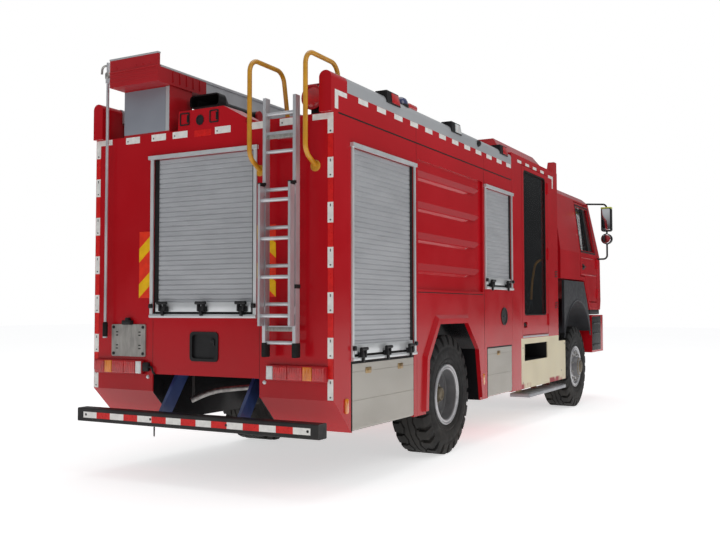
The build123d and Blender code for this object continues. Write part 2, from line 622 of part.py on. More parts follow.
def curtain(z0, z1):
    """Section of a curtain as (depth behind the face, height), slat over slat."""
    count = round((z1 - z0) / SLAT_PITCH)
    pitch = (z1 - z0) / count
    line = [(CURTAIN_IN, z0)]
    for number in range(count):
        low = z0 + number * pitch
        line.append((CURTAIN_OUT + SLAT_BULGE, low))
        line.append((CURTAIN_OUT, low + SLAT_FOOT * pitch))
        line.append((CURTAIN_OUT, low + SLAT_HEAD * pitch))
    line.append((CURTAIN_OUT + SLAT_BULGE, z1))
    line.append((CURTAIN_IN, z1))
    return line


with BuildPart() as roller_shutters:
    side_prism(curtain(REAR_OPEN_Z0, REAR_OPEN_Z1), REAR_OPEN_RIGHT, REAR_OPEN_LEFT)
    for side in both_sides():
        end_prism([(side * (HALF - depth), z) for depth, z in curtain(SIDE_OPEN_Z0, SIDE_OPEN_Z1)],
                  SIDE_OPEN_A0, SIDE_OPEN_A1)
        end_prism([(side * (HALF - depth), z) for depth, z in curtain(NARROW_Z0, NARROW_Z1)], NARROW_A0,
                  NARROW_A1)
roller_shutters.part.label = "roller_shutters"
export_step(roller_shutters.part, "parts/roller_shutters.step")

# Bright frames round the shutters, each with a drip rail over it
FRAME_EDGE = 32
FRAME_PROUD = 12
DRIP_PROUD = 30
DRIP_OVER = 14


def side_frame(side, a0, a1, z0, z1):
    """Frame and drip rail round one side opening."""
    rim = min(FRAME_EDGE, LOCKER_A1 - a1)
    block(a0 - FRAME_EDGE, a1 + rim, side * HALF, side * (HALF + FRAME_PROUD), z0 - FRAME_EDGE,
          z1 + FRAME_EDGE)
    block(a0 - FRAME_EDGE - DRIP_OVER, a1 + rim, side * HALF, side * (HALF + DRIP_PROUD), z1,
          z1 + FRAME_EDGE)
    block(a0, a1, side * (HALF - OVERCUT), side * (HALF + DRIP_PROUD + OVERCUT), z0, z1, Mode.SUBTRACT)


with BuildPart() as shutter_frames:
    block(-FRAME_PROUD, 0, REAR_OPEN_RIGHT - FRAME_EDGE, REAR_OPEN_LEFT + FRAME_EDGE,
          REAR_OPEN_Z0 - FRAME_EDGE, REAR_OPEN_Z1 + FRAME_EDGE)
    block(-DRIP_PROUD, 0, REAR_OPEN_RIGHT - FRAME_EDGE - DRIP_OVER, REAR_OPEN_LEFT + FRAME_EDGE + DRIP_OVER,
          REAR_OPEN_Z1, REAR_OPEN_Z1 + FRAME_EDGE)
    block(-DRIP_PROUD - OVERCUT, OVERCUT, REAR_OPEN_RIGHT, REAR_OPEN_LEFT, REAR_OPEN_Z0, REAR_OPEN_Z1,
          Mode.SUBTRACT)
    for side in both_sides():
        side_frame(side, SIDE_OPEN_A0, SIDE_OPEN_A1, SIDE_OPEN_Z0, SIDE_OPEN_Z1)
        side_frame(side, NARROW_A0, NARROW_A1, NARROW_Z0, NARROW_Z1)
shutter_frames.part.label = "shutter_frames"
export_step(shutter_frames.part, "parts/shutter_frames.step")

# Fold-down lower doors, hinged along their bottom edge, each pressed in planks
PLANK_GROOVE = 3
FLAP_PLACES = {
    "rear_flap_right": (REAR_FLAP_A0, REAR_FLAP_A1, -1),
    "rear_flap_left": (REAR_FLAP_A0, REAR_FLAP_A1, 1),
    "front_flap_right": (FRONT_FLAP_A0, FRONT_FLAP_A1, -1),
    "front_flap_left": (FRONT_FLAP_A0, FRONT_FLAP_A1, 1),
}
PLANK_SHARES = (0.45, 0.88)
for flap_name, (flap_a0, flap_a1, side) in FLAP_PLACES.items():
    with BuildPart() as flap:
        block(flap_a0, flap_a1, side * (HALF - FLAP_THICK), side * HALF, FLAP_PIN_Z, FLAP_Z1)
        rod_x(flap_a0, flap_a1, side * FLAP_PIN_Y, FLAP_PIN_Z, FLAP_THICK / 2)
        for share in PLANK_SHARES:
            groove_z = FLAP_Z0 + share * (FLAP_Z1 - FLAP_Z0)
            rod_x(flap_a0, flap_a1, side * HALF, groove_z, PLANK_GROOVE, Mode.SUBTRACT)
        socket = FLAP_PIN_REACH + FIT
        rod_x(flap_a0, flap_a0 + socket, side * FLAP_PIN_Y, FLAP_PIN_Z, FLAP_PIN + PIN_FIT, Mode.SUBTRACT)
        rod_x(flap_a1 - socket, flap_a1, side * FLAP_PIN_Y, FLAP_PIN_Z, FLAP_PIN + PIN_FIT, Mode.SUBTRACT)
    flap.part.label = flap_name
    export_step(flap.part, f"parts/{flap_name}.step")

# Light roof rails on the parapets, round-shouldered
with BuildPart() as roof_rails:
    for side in both_sides():
        edge_rail(side, RAIL_WIDE, PARAPET_Z, RAIL_ROUND, CAP_A1, LOCKER_A1)
roof_rails.part.label = "roof_rails"
export_step(roof_rails.part, "parts/roof_rails.step")

# Red housing and tray for the roof ladder
BOX_WIDE = 520
BOX_LONG = 300
BOX_RISE = 410
TRAY_OVER = 15
TRAY_FLOOR = 25
TRAY_SKIN = 22
TRAY_WALL = 130
TRAY_BACK = 170
TRAY_LONG = 650
TAIL_PLATE = 28
TAIL_RISE = 250
POST_LEAD = 665
POST_LONG = 80
BOX_Y1 = BOX_Y0 + BOX_WIDE
BOX_TOP = DECK_Z + BOX_RISE
TRAY_TOP = BOX_TOP + TRAY_FLOOR
TRAY_A1 = TRAY_LONG - TRAY_BACK
POST_A = REAR_AXLE + POST_LEAD
with BuildPart() as ladder_gantry:
    block(0, BOX_LONG, BOX_Y0, BOX_Y1, DECK_Z, BOX_TOP)
    block(-TRAY_BACK, TRAY_A1, BOX_Y0 - TRAY_OVER, BOX_Y1 + TRAY_OVER, BOX_TOP, BOX_TOP + TRAY_WALL)
    block(-TRAY_BACK - OVERCUT, TRAY_A1 + OVERCUT, BOX_Y0 - TRAY_OVER + TRAY_SKIN,
          BOX_Y1 + TRAY_OVER - TRAY_SKIN, TRAY_TOP, BOX_TOP + TRAY_WALL + OVERCUT, Mode.SUBTRACT)
    block(-TRAY_BACK, TAIL_PLATE - TRAY_BACK, BOX_Y0 - TRAY_OVER, BOX_Y1 + TRAY_OVER, BOX_TOP,
          BOX_TOP + TAIL_RISE)
    block(POST_A, POST_A + POST_LONG, BOX_Y0, BOX_Y1, DECK_Z, TRAY_TOP)
ladder_gantry.part.label = "ladder_gantry"
export_step(ladder_gantry.part, "parts/ladder_gantry.step")

# Ladder lying on the roof, its stiles channel-shaped
ROOF_LADDER_A0 = -120
ROOF_LADDER_OVER = 270
ROOF_STILE = 32
ROOF_STILE_TALL = 145
ROOF_STILE_INSET = 40
CHANNEL_LIP = 22
CHANNEL_DEEP = 12
RUNG = 16
RUNG_ROOT = 5
ROOF_RUNGS = 11
ROOF_RUNG_END = 160
ROOF_LADDER_A1 = POST_A + POST_LONG + ROOF_LADDER_OVER
STILE_Y0 = BOX_Y0 + ROOF_STILE_INSET
STILE_Y1 = BOX_Y1 - ROOF_STILE_INSET
ROOF_RUNG_PITCH = (ROOF_LADDER_A1 - ROOF_LADDER_A0 - 2 * ROOF_RUNG_END) / (ROOF_RUNGS - 1)
with BuildPart() as roof_ladder:
    top = TRAY_TOP + ROOF_STILE_TALL
    for outer, way in ((STILE_Y0, 1), (STILE_Y1, -1)):
        block(ROOF_LADDER_A0, ROOF_LADDER_A1, outer, outer + way * ROOF_STILE, TRAY_TOP, top)
        block(ROOF_LADDER_A0 - OVERCUT, ROOF_LADDER_A1 + OVERCUT, outer - way * OVERCUT,
              outer + way * CHANNEL_DEEP, TRAY_TOP + CHANNEL_LIP, top - CHANNEL_LIP, Mode.SUBTRACT)
    for number in range(ROOF_RUNGS):
        rod_y(ROOF_LADDER_A0 + ROOF_RUNG_END + number * ROOF_RUNG_PITCH, STILE_Y0 + ROOF_STILE - RUNG_ROOT,
              STILE_Y1 - ROOF_STILE + RUNG_ROOT, TRAY_TOP + ROOF_STILE_TALL / 2, RUNG)
roof_ladder.part.label = "roof_ladder"
export_step(roof_ladder.part, "parts/roof_ladder.step")

# Portable ladder stowed upright on the rear wall, in two sections
LADDER_INSET = 265
LADDER_WIDE = 310
STILE = 28
STILE_DEEP = 60
BACK_SECTION_A = -130
FRONT_SECTION_A = -200
FRONT_STILE_INSET = 4
BACK_FOOT = 110
BACK_HEAD = 140
FRONT_FOOT = 130
FRONT_LONG = 1110
BACK_RUNGS = 7
FRONT_RUNGS = 4
FRONT_RUNG_PITCH = 300
BACK_RUNG_FIRST = 110
BACK_RUNG_LAST = 130
FRONT_RUNG_FIRST = 80
REAR_RUNG = 15
CLIP_TALL = 60
CLIP_FIRST = 90
CLIP_LAST = 1020
BRACKET_TALL = 40
BRACKET_INSET = 60
BRACKET_PLATE = 20
BRACKET_LOW = 90
BRACKET_HIGH = 170
STRAP_INSET = 10
LADDER_OUT = LADDER_INSET - HALF
LADDER_IN = LADDER_OUT + LADDER_WIDE
BACK_Z0 = FRAME_TOP_Z - BACK_FOOT
BACK_Z1 = DECK_Z + BACK_HEAD
FRONT_Z0 = FRAME_TOP_Z + FRONT_FOOT
BACK_RUNG_PITCH = (BACK_Z1 - BACK_Z0 - BACK_RUNG_FIRST - BACK_RUNG_LAST) / (BACK_RUNGS - 1)
BACK_MID_A = BACK_SECTION_A + STILE_DEEP / 2
FRONT_MID_A = FRONT_SECTION_A + STILE_DEEP / 2
with BuildPart() as rear_ladder:
    for stile in (LADDER_OUT, LADDER_IN - STILE):
        block(BACK_SECTION_A, BACK_SECTION_A + STILE_DEEP, stile, stile + STILE, BACK_Z0, BACK_Z1)
        front_y0 = stile + FRONT_STILE_INSET
        front_y1 = stile + STILE - FRONT_STILE_INSET
        block(FRONT_SECTION_A, FRONT_SECTION_A + STILE_DEEP, front_y0, front_y1, FRONT_Z0,
              FRONT_Z0 + FRONT_LONG)
        for lift in (CLIP_FIRST, CLIP_LAST):
            block(FRONT_MID_A, BACK_MID_A, front_y0, front_y1, FRONT_Z0 + lift, FRONT_Z0 + lift + CLIP_TALL)
    for number in range(BACK_RUNGS):
        rod_y(BACK_MID_A, LADDER_OUT + RUNG_ROOT, LADDER_IN - RUNG_ROOT,
              BACK_Z0 + BACK_RUNG_FIRST + number * BACK_RUNG_PITCH, REAR_RUNG)
    for number in range(FRONT_RUNGS):
        rod_y(FRONT_MID_A, LADDER_OUT + 2 * RUNG_ROOT, LADDER_IN - 2 * RUNG_ROOT,
              FRONT_Z0 + FRONT_RUNG_FIRST + number * FRONT_RUNG_PITCH, REAR_RUNG)
    for height in (FRAME_TOP_Z + BRACKET_LOW, DECK_Z - BRACKET_HIGH):
        block(BACK_MID_A, 0, LADDER_OUT + BRACKET_INSET, LADDER_IN - BRACKET_INSET, height,
              height + BRACKET_TALL)
        block(BACK_MID_A, BACK_MID_A + BRACKET_PLATE, LADDER_OUT + STRAP_INSET, LADDER_IN - STRAP_INSET,
              height, height + BRACKET_TALL)
rear_ladder.part.label = "rear_ladder"
export_step(rear_ladder.part, "parts/rear_ladder.step")

# Yellow grab rails at the head of the ladder
RAIL_TUBE = 19
RAIL_BEND = 110
RAIL_LEG = 150
RAIL_HEAD = 330
RAIL_FOOT = 90
RAIL_FOOT_DROP = 410
RAIL_FOOT_TURN = 90
RAIL_LIFT = 470
RAIL_FOOT_CUT = 60
GRAB_INSET = 165
GRAB_GAP = 60
GRAB_PLACES = (GRAB_INSET - HALF, REAR_OPEN_RIGHT - GRAB_GAP)
with BuildPart() as grab_rails:
    for across in GRAB_PLACES:
        foot_z = DECK_Z - RAIL_FOOT_DROP
        head_z = DECK_Z + RAIL_LIFT
        pipe([(REAR_WALL_X, across, foot_z), (REAR_WALL_X - RAIL_LEG, across, foot_z + RAIL_FOOT_TURN),
              (REAR_WALL_X - RAIL_LEG, across, head_z), (REAR_WALL_X + RAIL_HEAD, across, head_z),
              (REAR_WALL_X + RAIL_HEAD + RAIL_FOOT, across, DECK_Z)], RAIL_BEND, RAIL_TUBE)
        block(0, RAIL_FOOT_CUT, across - RAIL_FOOT_CUT, across + RAIL_FOOT_CUT, foot_z - RAIL_FOOT_CUT,
              foot_z + RAIL_FOOT_CUT, Mode.SUBTRACT)
        block(RAIL_HEAD, RAIL_HEAD + 2 * RAIL_FOOT, across - RAIL_FOOT_CUT, across + RAIL_FOOT_CUT,
              DECK_Z - RAIL_FOOT_CUT, DECK_Z, Mode.SUBTRACT)
grab_rails.part.label = "grab_rails"
export_step(grab_rails.part, "parts/grab_rails.step")

# Long hook pole hanging at the rear left corner
POLE_INSET = 190
POLE_A = -60
POLE_RADIUS = 13
POLE_GRIP = 20
POLE_GRIP_LONG = 120
POLE_FOOT = 10
POLE_HEAD = 270
CLAMP_HALF = 25
CLAMP_RISE = 80
CLAMP_TALL = 40
CLAMP_GRIP = 5
POLE_Y = HALF - POLE_INSET
POLE_Z0 = FRAME_TOP_Z + POLE_FOOT
POLE_Z1 = BOX_TOP + POLE_HEAD
with BuildPart() as hook_pole:
    rod_z(POLE_A, POLE_Y, POLE_Z0, POLE_Z1, POLE_RADIUS)
    rod_z(POLE_A, POLE_Y, POLE_Z0, POLE_Z0 + POLE_GRIP_LONG, POLE_GRIP)
    block(POLE_A - CLAMP_HALF, POLE_A + CLAMP_HALF, BOX_Y1 + TRAY_OVER, POLE_Y + CLAMP_GRIP,
          BOX_TOP + CLAMP_RISE, BOX_TOP + CLAMP_RISE + CLAMP_TALL)
hook_pole.part.label = "hook_pole"
export_step(hook_pole.part, "parts/hook_pole.step")

# Lamps on the rear wall and along the rails
LAMP_INSET = 590
LAMP_WIDE = 540
LAMP_DEEP = 36
LAMP_TALL = 120
LAMP_DROP = 180
LAMP_ROUND = 12
LAMP_IN = HALF - LAMP_INSET
with BuildPart() as tail_lamps:
    for side in both_sides():
        block(-LAMP_DEEP, 0, side * LAMP_IN, side * (LAMP_IN + LAMP_WIDE),
              FRAME_TOP_Z - LAMP_DROP - LAMP_TALL, FRAME_TOP_Z - LAMP_DROP)
    fillet(tail_lamps.edges().filter_by(Axis.X), LAMP_ROUND)
tail_lamps.part.label = "tail_lamps"
export_step(tail_lamps.part, "parts/tail_lamps.step")

BEACON_FIRST = 1050
BEACON_COUNT = 3
BEACON_MARGIN = 254
BEACON_BACK = 150
BEACON_LEAD = 110
BEACON_HEAD_BACK = 170
BEACON_HEAD_LEAD = 60
BEACON_IN = 100
BEACON_OUT = 12
BEACON_DROP = 62
BEACON_RISE = 40
WORK_LAMP_A = 130
WORK_LAMP_INSET = 230
WORK_LAMP_RISE = 150
WORK_LAMP_RADIUS = 100
WORK_LAMP_HALF = 70
WORK_LAMP_FOOT = 35
WORK_LAMP_ROUND = 30
WORK_LAMP_Y = WORK_LAMP_INSET - HALF
BEACON_PITCH = (LOCKER_END - BEACON_MARGIN - BEACON_FIRST) / (BEACON_COUNT - 1)
with BuildPart() as roof_lamps:
    for side in both_sides():
        for number in range(BEACON_COUNT):
            place = BEACON_FIRST + number * BEACON_PITCH
            side_prism([(place - BEACON_BACK, RAIL_TOP_Z - BEACON_DROP),
                        (place + BEACON_LEAD, RAIL_TOP_Z - BEACON_DROP),
                        (place + BEACON_HEAD_LEAD, RAIL_TOP_Z + BEACON_RISE),
                        (place - BEACON_HEAD_BACK, RAIL_TOP_Z + BEACON_RISE)],
                       side * (HALF - BEACON_IN), side * (HALF + BEACON_OUT))
    add(roof_rails.part, mode=Mode.SUBTRACT)
    rod_x(WORK_LAMP_A - WORK_LAMP_HALF, WORK_LAMP_A + WORK_LAMP_HALF, WORK_LAMP_Y, DECK_Z + WORK_LAMP_RISE,
          WORK_LAMP_RADIUS)
    lamp_back = roof_lamps.edges().filter_by(GeomType.CIRCLE).sort_by(Axis.X)[-1]
    fillet(lamp_back, WORK_LAMP_ROUND)
    block(WORK_LAMP_A - WORK_LAMP_FOOT, WORK_LAMP_A + WORK_LAMP_FOOT, WORK_LAMP_Y - WORK_LAMP_FOOT,
          WORK_LAMP_Y + WORK_LAMP_FOOT, DECK_Z, DECK_Z + WORK_LAMP_RISE - WORK_LAMP_RADIUS / 2)
roof_lamps.part.label = "roof_lamps"
export_step(roof_lamps.part, "parts/roof_lamps.step")

# Number plate carrier with its four fixing holes
PLATE_INSET = 614
PLATE_WIDE = 390
PLATE_DROP = 150
PLATE_TALL = 280
PLATE_THICK = 14
PLATE_HOLE = 7
PLATE_EDGE = 25
PLATE_ROUND = 16
PLATE_IN = HALF - PLATE_INSET
PLATE_Z0 = FRAME_TOP_Z - PLATE_DROP
PLATE_Z1 = PLATE_Z0 + PLATE_TALL
PLATE_OUT = PLATE_IN + PLATE_WIDE
with BuildPart() as plate_carrier:
    block(-PLATE_THICK, 0, PLATE_IN, PLATE_OUT, PLATE_Z0, PLATE_Z1)
    fillet(plate_carrier.edges().filter_by(Axis.X), PLATE_ROUND)
    for across in (PLATE_IN + PLATE_EDGE, PLATE_OUT - PLATE_EDGE):
        for height in (PLATE_Z0 + PLATE_EDGE, PLATE_Z1 - PLATE_EDGE):
            rod_x(-PLATE_THICK, 0, across, height, PLATE_HOLE, Mode.SUBTRACT)
plate_carrier.part.label = "plate_carrier"
export_step(plate_carrier.part, "parts/plate_carrier.step")

# Crew cabin: hollow shell with a door opening each side and a raised roof fairing
DOOR_REAR_SHARE = 0.195
DOOR_FRONT_SHARE = 0.244
DOOR_DROP = 65
DOOR_HEAD = 90
DOOR_THICK = 60
DOOR_GAP = 8
CREW_FLOOR_RISE = 50
CREW_SIDE_DROP = 102
SKIRT_LEAD = 60
SKIRT_IN = 550
CREW_HINGE_RADIUS = 18
CREW_HINGE_LOW = 185
CREW_HINGE_MID = 0.5
CREW_HINGE_TOP = 180
CROWN_RISE = 225
CROWN_HALF = 1120
CROWN_TOP_HALF = 960
CROWN_REAR = 60
CROWN_FRONT = 15
CROWN_TOP_REAR = 120
CROWN_TOP_FRONT = 150
FIN_LONG = 180
FIN_BACK = 15
FIN_WIDE = 90
FIN_RISE = 145
FIN_RAKE = 70
DOOR_A0 = LOCKER_END + DOOR_REAR_SHARE * CREW_LENGTH
DOOR_A1 = CREW_END - DOOR_FRONT_SHARE * CREW_LENGTH
DOOR_Z0 = FRAME_TOP_Z - DOOR_DROP
DOOR_Z1 = CREW_ROOF_Z - DOOR_HEAD
CREW_FLOOR_Z = FRAME_TOP_Z + CREW_FLOOR_RISE
CREW_SIDE_Z = FRAME_TOP_Z - CREW_SIDE_DROP
SKIRT_A0 = DOOR_A0 - SKIRT_LEAD
SKIRT_INNER = HALF - SKIRT_IN
CREW_HINGE_A = DOOR_A1 - DOOR_GAP
CREW_HINGES = (DOOR_Z0 + CREW_HINGE_LOW, DOOR_Z0 + CREW_HINGE_MID * (DOOR_Z1 - DOOR_Z0),
               DOOR_Z1 - CREW_HINGE_TOP)
FIN_A1 = CREW_END - FIN_BACK
FIN_LINE = [(FIN_A1 - FIN_LONG, CREW_ROOF_Z), (FIN_A1, CREW_ROOF_Z), (FIN_A1, CREW_ROOF_Z + FIN_RISE),
            (FIN_A1 - FIN_LONG + FIN_RAKE, CREW_ROOF_Z + FIN_RISE)]
with BuildPart() as crew_cabin:
    block(LOCKER_END, CREW_END, -HALF, HALF, CREW_SIDE_Z, CREW_ROOF_Z)
    loft(sections=[plan_rectangle(LOCKER_END + CROWN_REAR, CREW_END - CROWN_FRONT, CROWN_HALF, CREW_ROOF_Z),
                   plan_rectangle(LOCKER_END + CROWN_REAR + CROWN_TOP_REAR,
                                  CREW_END - CROWN_FRONT - CROWN_TOP_FRONT,
                                  CROWN_TOP_HALF, CREW_ROOF_Z + CROWN_RISE)], ruled=True)
    for side in both_sides():
        side_prism(FIN_LINE, side * (HALF - FIN_WIDE), side * HALF)
    block(LOCKER_END, CREW_END, -TUNNEL_HALF, TUNNEL_HALF, CREW_SIDE_Z - OVERCUT, FRAME_TOP_Z, Mode.SUBTRACT)
    for side in both_sides():
        block(LOCKER_END, SKIRT_A0, side * SKIRT_INNER, side * HALF, SKIRT_Z, CREW_SIDE_Z)
    block(LOCKER_END + WALL, CREW_END - WALL, -HALF + DOOR_THICK, HALF - DOOR_THICK, CREW_FLOOR_Z,
          CREW_ROOF_Z - WALL, Mode.SUBTRACT)
    for side in both_sides():
        block(DOOR_A0, DOOR_A1, side * (HALF - DOOR_THICK - DOOR_GAP), side * (HALF + OVERCUT), DOOR_Z0,
              DOOR_Z1, Mode.SUBTRACT)
        hinge_lugs(CREW_HINGE_A, side * HALF, CREW_HINGES, CREW_HINGE_RADIUS)
crew_cabin.part.label = "crew_cabin"
export_step(crew_cabin.part, "parts/crew_cabin.step")

# Crew doors, hinged at their front edge, with a tall round-cornered pane
PANE_REAR = 80
PANE_FRONT = 85
PANE_FOOT = 243
PANE_HEAD = 55
PANE_ROUND = 45
PANE_OUT = 20
PANE_THICK = 10
HANDLE_DISH = 30
HANDLE_DISH_LONG = 130
HANDLE_DISH_TALL = 70
HANDLE_DISH_Z = 150
HANDLE_DISH_A = 40
PANE_A0 = DOOR_A0 + PANE_REAR
PANE_A1 = DOOR_A1 - PANE_FRONT
PANE_Z0 = DOOR_Z0 + PANE_FOOT
PANE_Z1 = DOOR_Z1 - PANE_HEAD


def crew_pane(y0, y1, mode=Mode.ADD):
    """The crew door's pane outline carried between two widths."""
    with BuildSketch(Plane.XZ.offset(-max(y0, y1))) as outline:
        with Locations((REAR_WALL_X + (PANE_A0 + PANE_A1) / 2, (PANE_Z0 + PANE_Z1) / 2)):
            RectangleRounded(PANE_A1 - PANE_A0, PANE_Z1 - PANE_Z0, PANE_ROUND)
    extrude(outline.sketch, amount=abs(y1 - y0), mode=mode)


for side in both_sides():
    with BuildPart() as crew_door:
        block(DOOR_A0 + DOOR_GAP, DOOR_A1 - DOOR_GAP, side * (HALF - DOOR_THICK), side * HALF,
              DOOR_Z0 + DOOR_GAP, DOOR_Z1 - DOOR_GAP)
        crew_pane(side * (HALF - DOOR_THICK - OVERCUT), side * (HALF + OVERCUT), Mode.SUBTRACT)
        dish_a = DOOR_A0 + DOOR_GAP + HANDLE_DISH_A
        dish_z = PANE_Z0 - HANDLE_DISH_Z
        block(dish_a, dish_a + HANDLE_DISH_LONG, side * (HALF - HANDLE_DISH), side * (HALF + OVERCUT),
              dish_z, dish_z + HANDLE_DISH_TALL, Mode.SUBTRACT)
        hinge_barrels(CREW_HINGE_A, side * HALF, CREW_HINGES, CREW_HINGE_RADIUS)
    crew_door.part.label = f"crew_door_{SIDE_NAMES[side]}"
    export_step(crew_door.part, f"parts/crew_door_{SIDE_NAMES[side]}.step")
    with BuildPart() as crew_glass:
        crew_pane(side * (HALF - PANE_OUT - PANE_THICK), side * (HALF - PANE_OUT))
    crew_glass.part.label = f"crew_glass_{SIDE_NAMES[side]}"
    export_step(crew_glass.part, f"parts/crew_glass_{SIDE_NAMES[side]}.step")

# Unpainted lower panels under the crew cabin, each with a step recess and a step board
SKIRT_FRONT_BACK = 745
SKIRT_NOSE_IN = 250
SKIRT_NOSE_DROP = 180
STEP_REAR = 65
STEP_FRONT = 60
STEP_DROP = 380
STEP_TALL = 208
STEP_DEEP = 300
BOARD_REAR = 0.195
BOARD_BACK = 40
BOARD_DROP = 120
BOARD_THICK = 40
BOARD_OUT = 10
BOARD_WIDE = 250
BOARD_POSTS = 3
POST_REAR = 150
POST_FRONT = 240
POST_SIZE = 60
POST_IN = 20
POST_ROOT = 5
SKIRT_A1 = FRONT_AXLE - SKIRT_FRONT_BACK
STEP_Z0 = FRAME_TOP_Z - STEP_DROP
BOARD_A0 = DOOR_A0 + BOARD_REAR * (DOOR_A1 - DOOR_A0)
BOARD_A1 = SKIRT_A1 - BOARD_BACK
BOARD_Z0 = SKIRT_Z - BOARD_DROP
BOARD_PITCH = (BOARD_A1 - POST_FRONT - BOARD_A0 - POST_REAR) / (BOARD_POSTS - 1)
with BuildPart() as crew_skirts:
    for side in both_sides():
        block(SKIRT_A0, CREW_END, side * SKIRT_INNER, side * HALF, SKIRT_Z, CREW_SIDE_Z)
        block(CREW_END, SKIRT_A1, side * (HALF - SKIRT_NOSE_IN), side * HALF, SKIRT_Z,
              FRAME_TOP_Z - SKIRT_NOSE_DROP)
        block(DOOR_A0 + STEP_REAR, DOOR_A1 - STEP_FRONT, side * (HALF - STEP_DEEP), side * (HALF + OVERCUT),
              STEP_Z0, STEP_Z0 + STEP_TALL, Mode.SUBTRACT)
        block(BOARD_A0, BOARD_A1, side * (HALF + BOARD_OUT - BOARD_WIDE), side * (HALF + BOARD_OUT),
              BOARD_Z0, BOARD_Z0 + BOARD_THICK)
        for number in range(BOARD_POSTS):
            place = BOARD_A0 + POST_REAR + number * BOARD_PITCH
            post_y = HALF + BOARD_OUT - BOARD_WIDE + POST_IN
            block(place, place + POST_SIZE, side * post_y, side * (post_y + POST_SIZE),
                  BOARD_Z0 + BOARD_THICK - POST_ROOT, SKIRT_Z + POST_ROOT)
crew_skirts.part.label = "crew_skirts"
export_step(crew_skirts.part, "parts/crew_skirts.step")

# Crew bench against the cabin's rear wall
BENCH_LONG = 480
BENCH_RISE = 450
BENCH_BACK = 140
BENCH_BACK_RISE = 1070
BENCH_INSET = 250
BENCH_ROUND = 50
BENCH_HALF = HALF - BENCH_INSET
BENCH_A0 = LOCKER_END + WALL
with BuildPart() as crew_seats:
    block(BENCH_A0, BENCH_A0 + BENCH_LONG, -BENCH_HALF, BENCH_HALF, CREW_FLOOR_Z, CREW_FLOOR_Z + BENCH_RISE)
    block(BENCH_A0, BENCH_A0 + BENCH_BACK, -BENCH_HALF, BENCH_HALF, CREW_FLOOR_Z,
          CREW_FLOOR_Z + BENCH_BACK_RISE)
    bench_edges = crew_seats.edges().filter_by(Axis.Y)
    fillet(bench_edges.group_by(Axis.Z)[-1].sort_by(Axis.X)[-1], BENCH_ROUND)
    fillet(crew_seats.edges().filter_by(Axis.Y).group_by(Axis.X)[-1].sort_by(Axis.Z)[-1], BENCH_ROUND)
crew_seats.part.label = "crew_seats"
export_step(crew_seats.part, "parts/crew_seats.step")

# Roof monitor: base, turning head and a barrel with a wide flat mouth
MONITOR_A = 950
MONITOR_GAP = 205
MONITOR_RISE = 295
HEAD_RISE = 120
FOOT_RADIUS = 130
FOOT_THICK = 20
COLUMN_RADIUS = 65
HEAD_RADIUS = 70
HEAD_THICK = 60
TRUNNION = 55
CHEEK = 20
CHEEK_HALF = 45
CHEEK_ROOT = 30
BARREL_RADIUS = 42
BARREL_LONG = 430
FUNNEL_LONG = 210
MOUTH_LONG = 90
MOUTH_HALF = 165
MOUTH_TALL = 118
MOUTH_ROUND = 40
MOUTH_WALL = 12
MONITOR_Y = BOX_Y0 - MONITOR_GAP
MONITOR_Z = DECK_Z + MONITOR_RISE
HEAD_Z0 = DECK_Z + HEAD_RISE
MOUTH_A = MONITOR_A - BARREL_LONG - FUNNEL_LONG
with BuildPart() as monitor_base:
    rod_z(MONITOR_A, MONITOR_Y, DECK_Z, DECK_Z + FOOT_THICK, FOOT_RADIUS)
    rod_z(MONITOR_A, MONITOR_Y, DECK_Z, HEAD_Z0 - PIN_FIT, COLUMN_RADIUS)
monitor_base.part.label = "monitor_base"
export_step(monitor_base.part, "parts/monitor_base.step")

with BuildPart() as monitor_head:
    rod_z(MONITOR_A, MONITOR_Y, HEAD_Z0, HEAD_Z0 + HEAD_THICK, HEAD_RADIUS)
    for side in both_sides():
        inner = MONITOR_Y + side * TRUNNION
        outer = MONITOR_Y + side * (TRUNNION + CHEEK)
        block(MONITOR_A - CHEEK_HALF, MONITOR_A + CHEEK_HALF, inner, outer, HEAD_Z0 + CHEEK_ROOT, MONITOR_Z)
        rod_y(MONITOR_A, inner, outer, MONITOR_Z, CHEEK_HALF)
monitor_head.part.label = "monitor_head"
export_step(monitor_head.part, "parts/monitor_head.step")


def mouth_section(a, wide, tall, corner):
    """Round-cornered section across the barrel at one station."""
    with BuildSketch(Plane.YZ.offset(REAR_WALL_X + a)) as outline:
        with Locations((MONITOR_Y, MONITOR_Z)):
            RectangleRounded(wide, tall, corner)
    return outline.sketch


def mouth_form(inset):
    """The flared funnel and the flat mouth, drawn in by a wall thickness."""
    with BuildPart() as form:
        root = 2 * (BARREL_RADIUS - inset)
        wide = 2 * (MOUTH_HALF - inset)
        tall = MOUTH_TALL - 2 * inset
        lip = mouth_section(MOUTH_A, wide, tall, MOUTH_ROUND - inset)
        loft(sections=[mouth_section(MONITOR_A - BARREL_LONG, root, root, root * 0.49), lip])
        extrude(lip, amount=-MOUTH_LONG - inset)
    return form.part


with BuildPart() as monitor_barrel:
    rod_y(MONITOR_A, MONITOR_Y - TRUNNION + PIN_FIT, MONITOR_Y + TRUNNION - PIN_FIT, MONITOR_Z, CHEEK_HALF)
    rod_x(MONITOR_A - BARREL_LONG, MONITOR_A, MONITOR_Y, MONITOR_Z, BARREL_RADIUS)
    add(mouth_form(0))
    add(mouth_form(MOUTH_WALL), mode=Mode.SUBTRACT)
monitor_barrel.part.label = "monitor_barrel"
export_step(monitor_barrel.part, "parts/monitor_barrel.step")

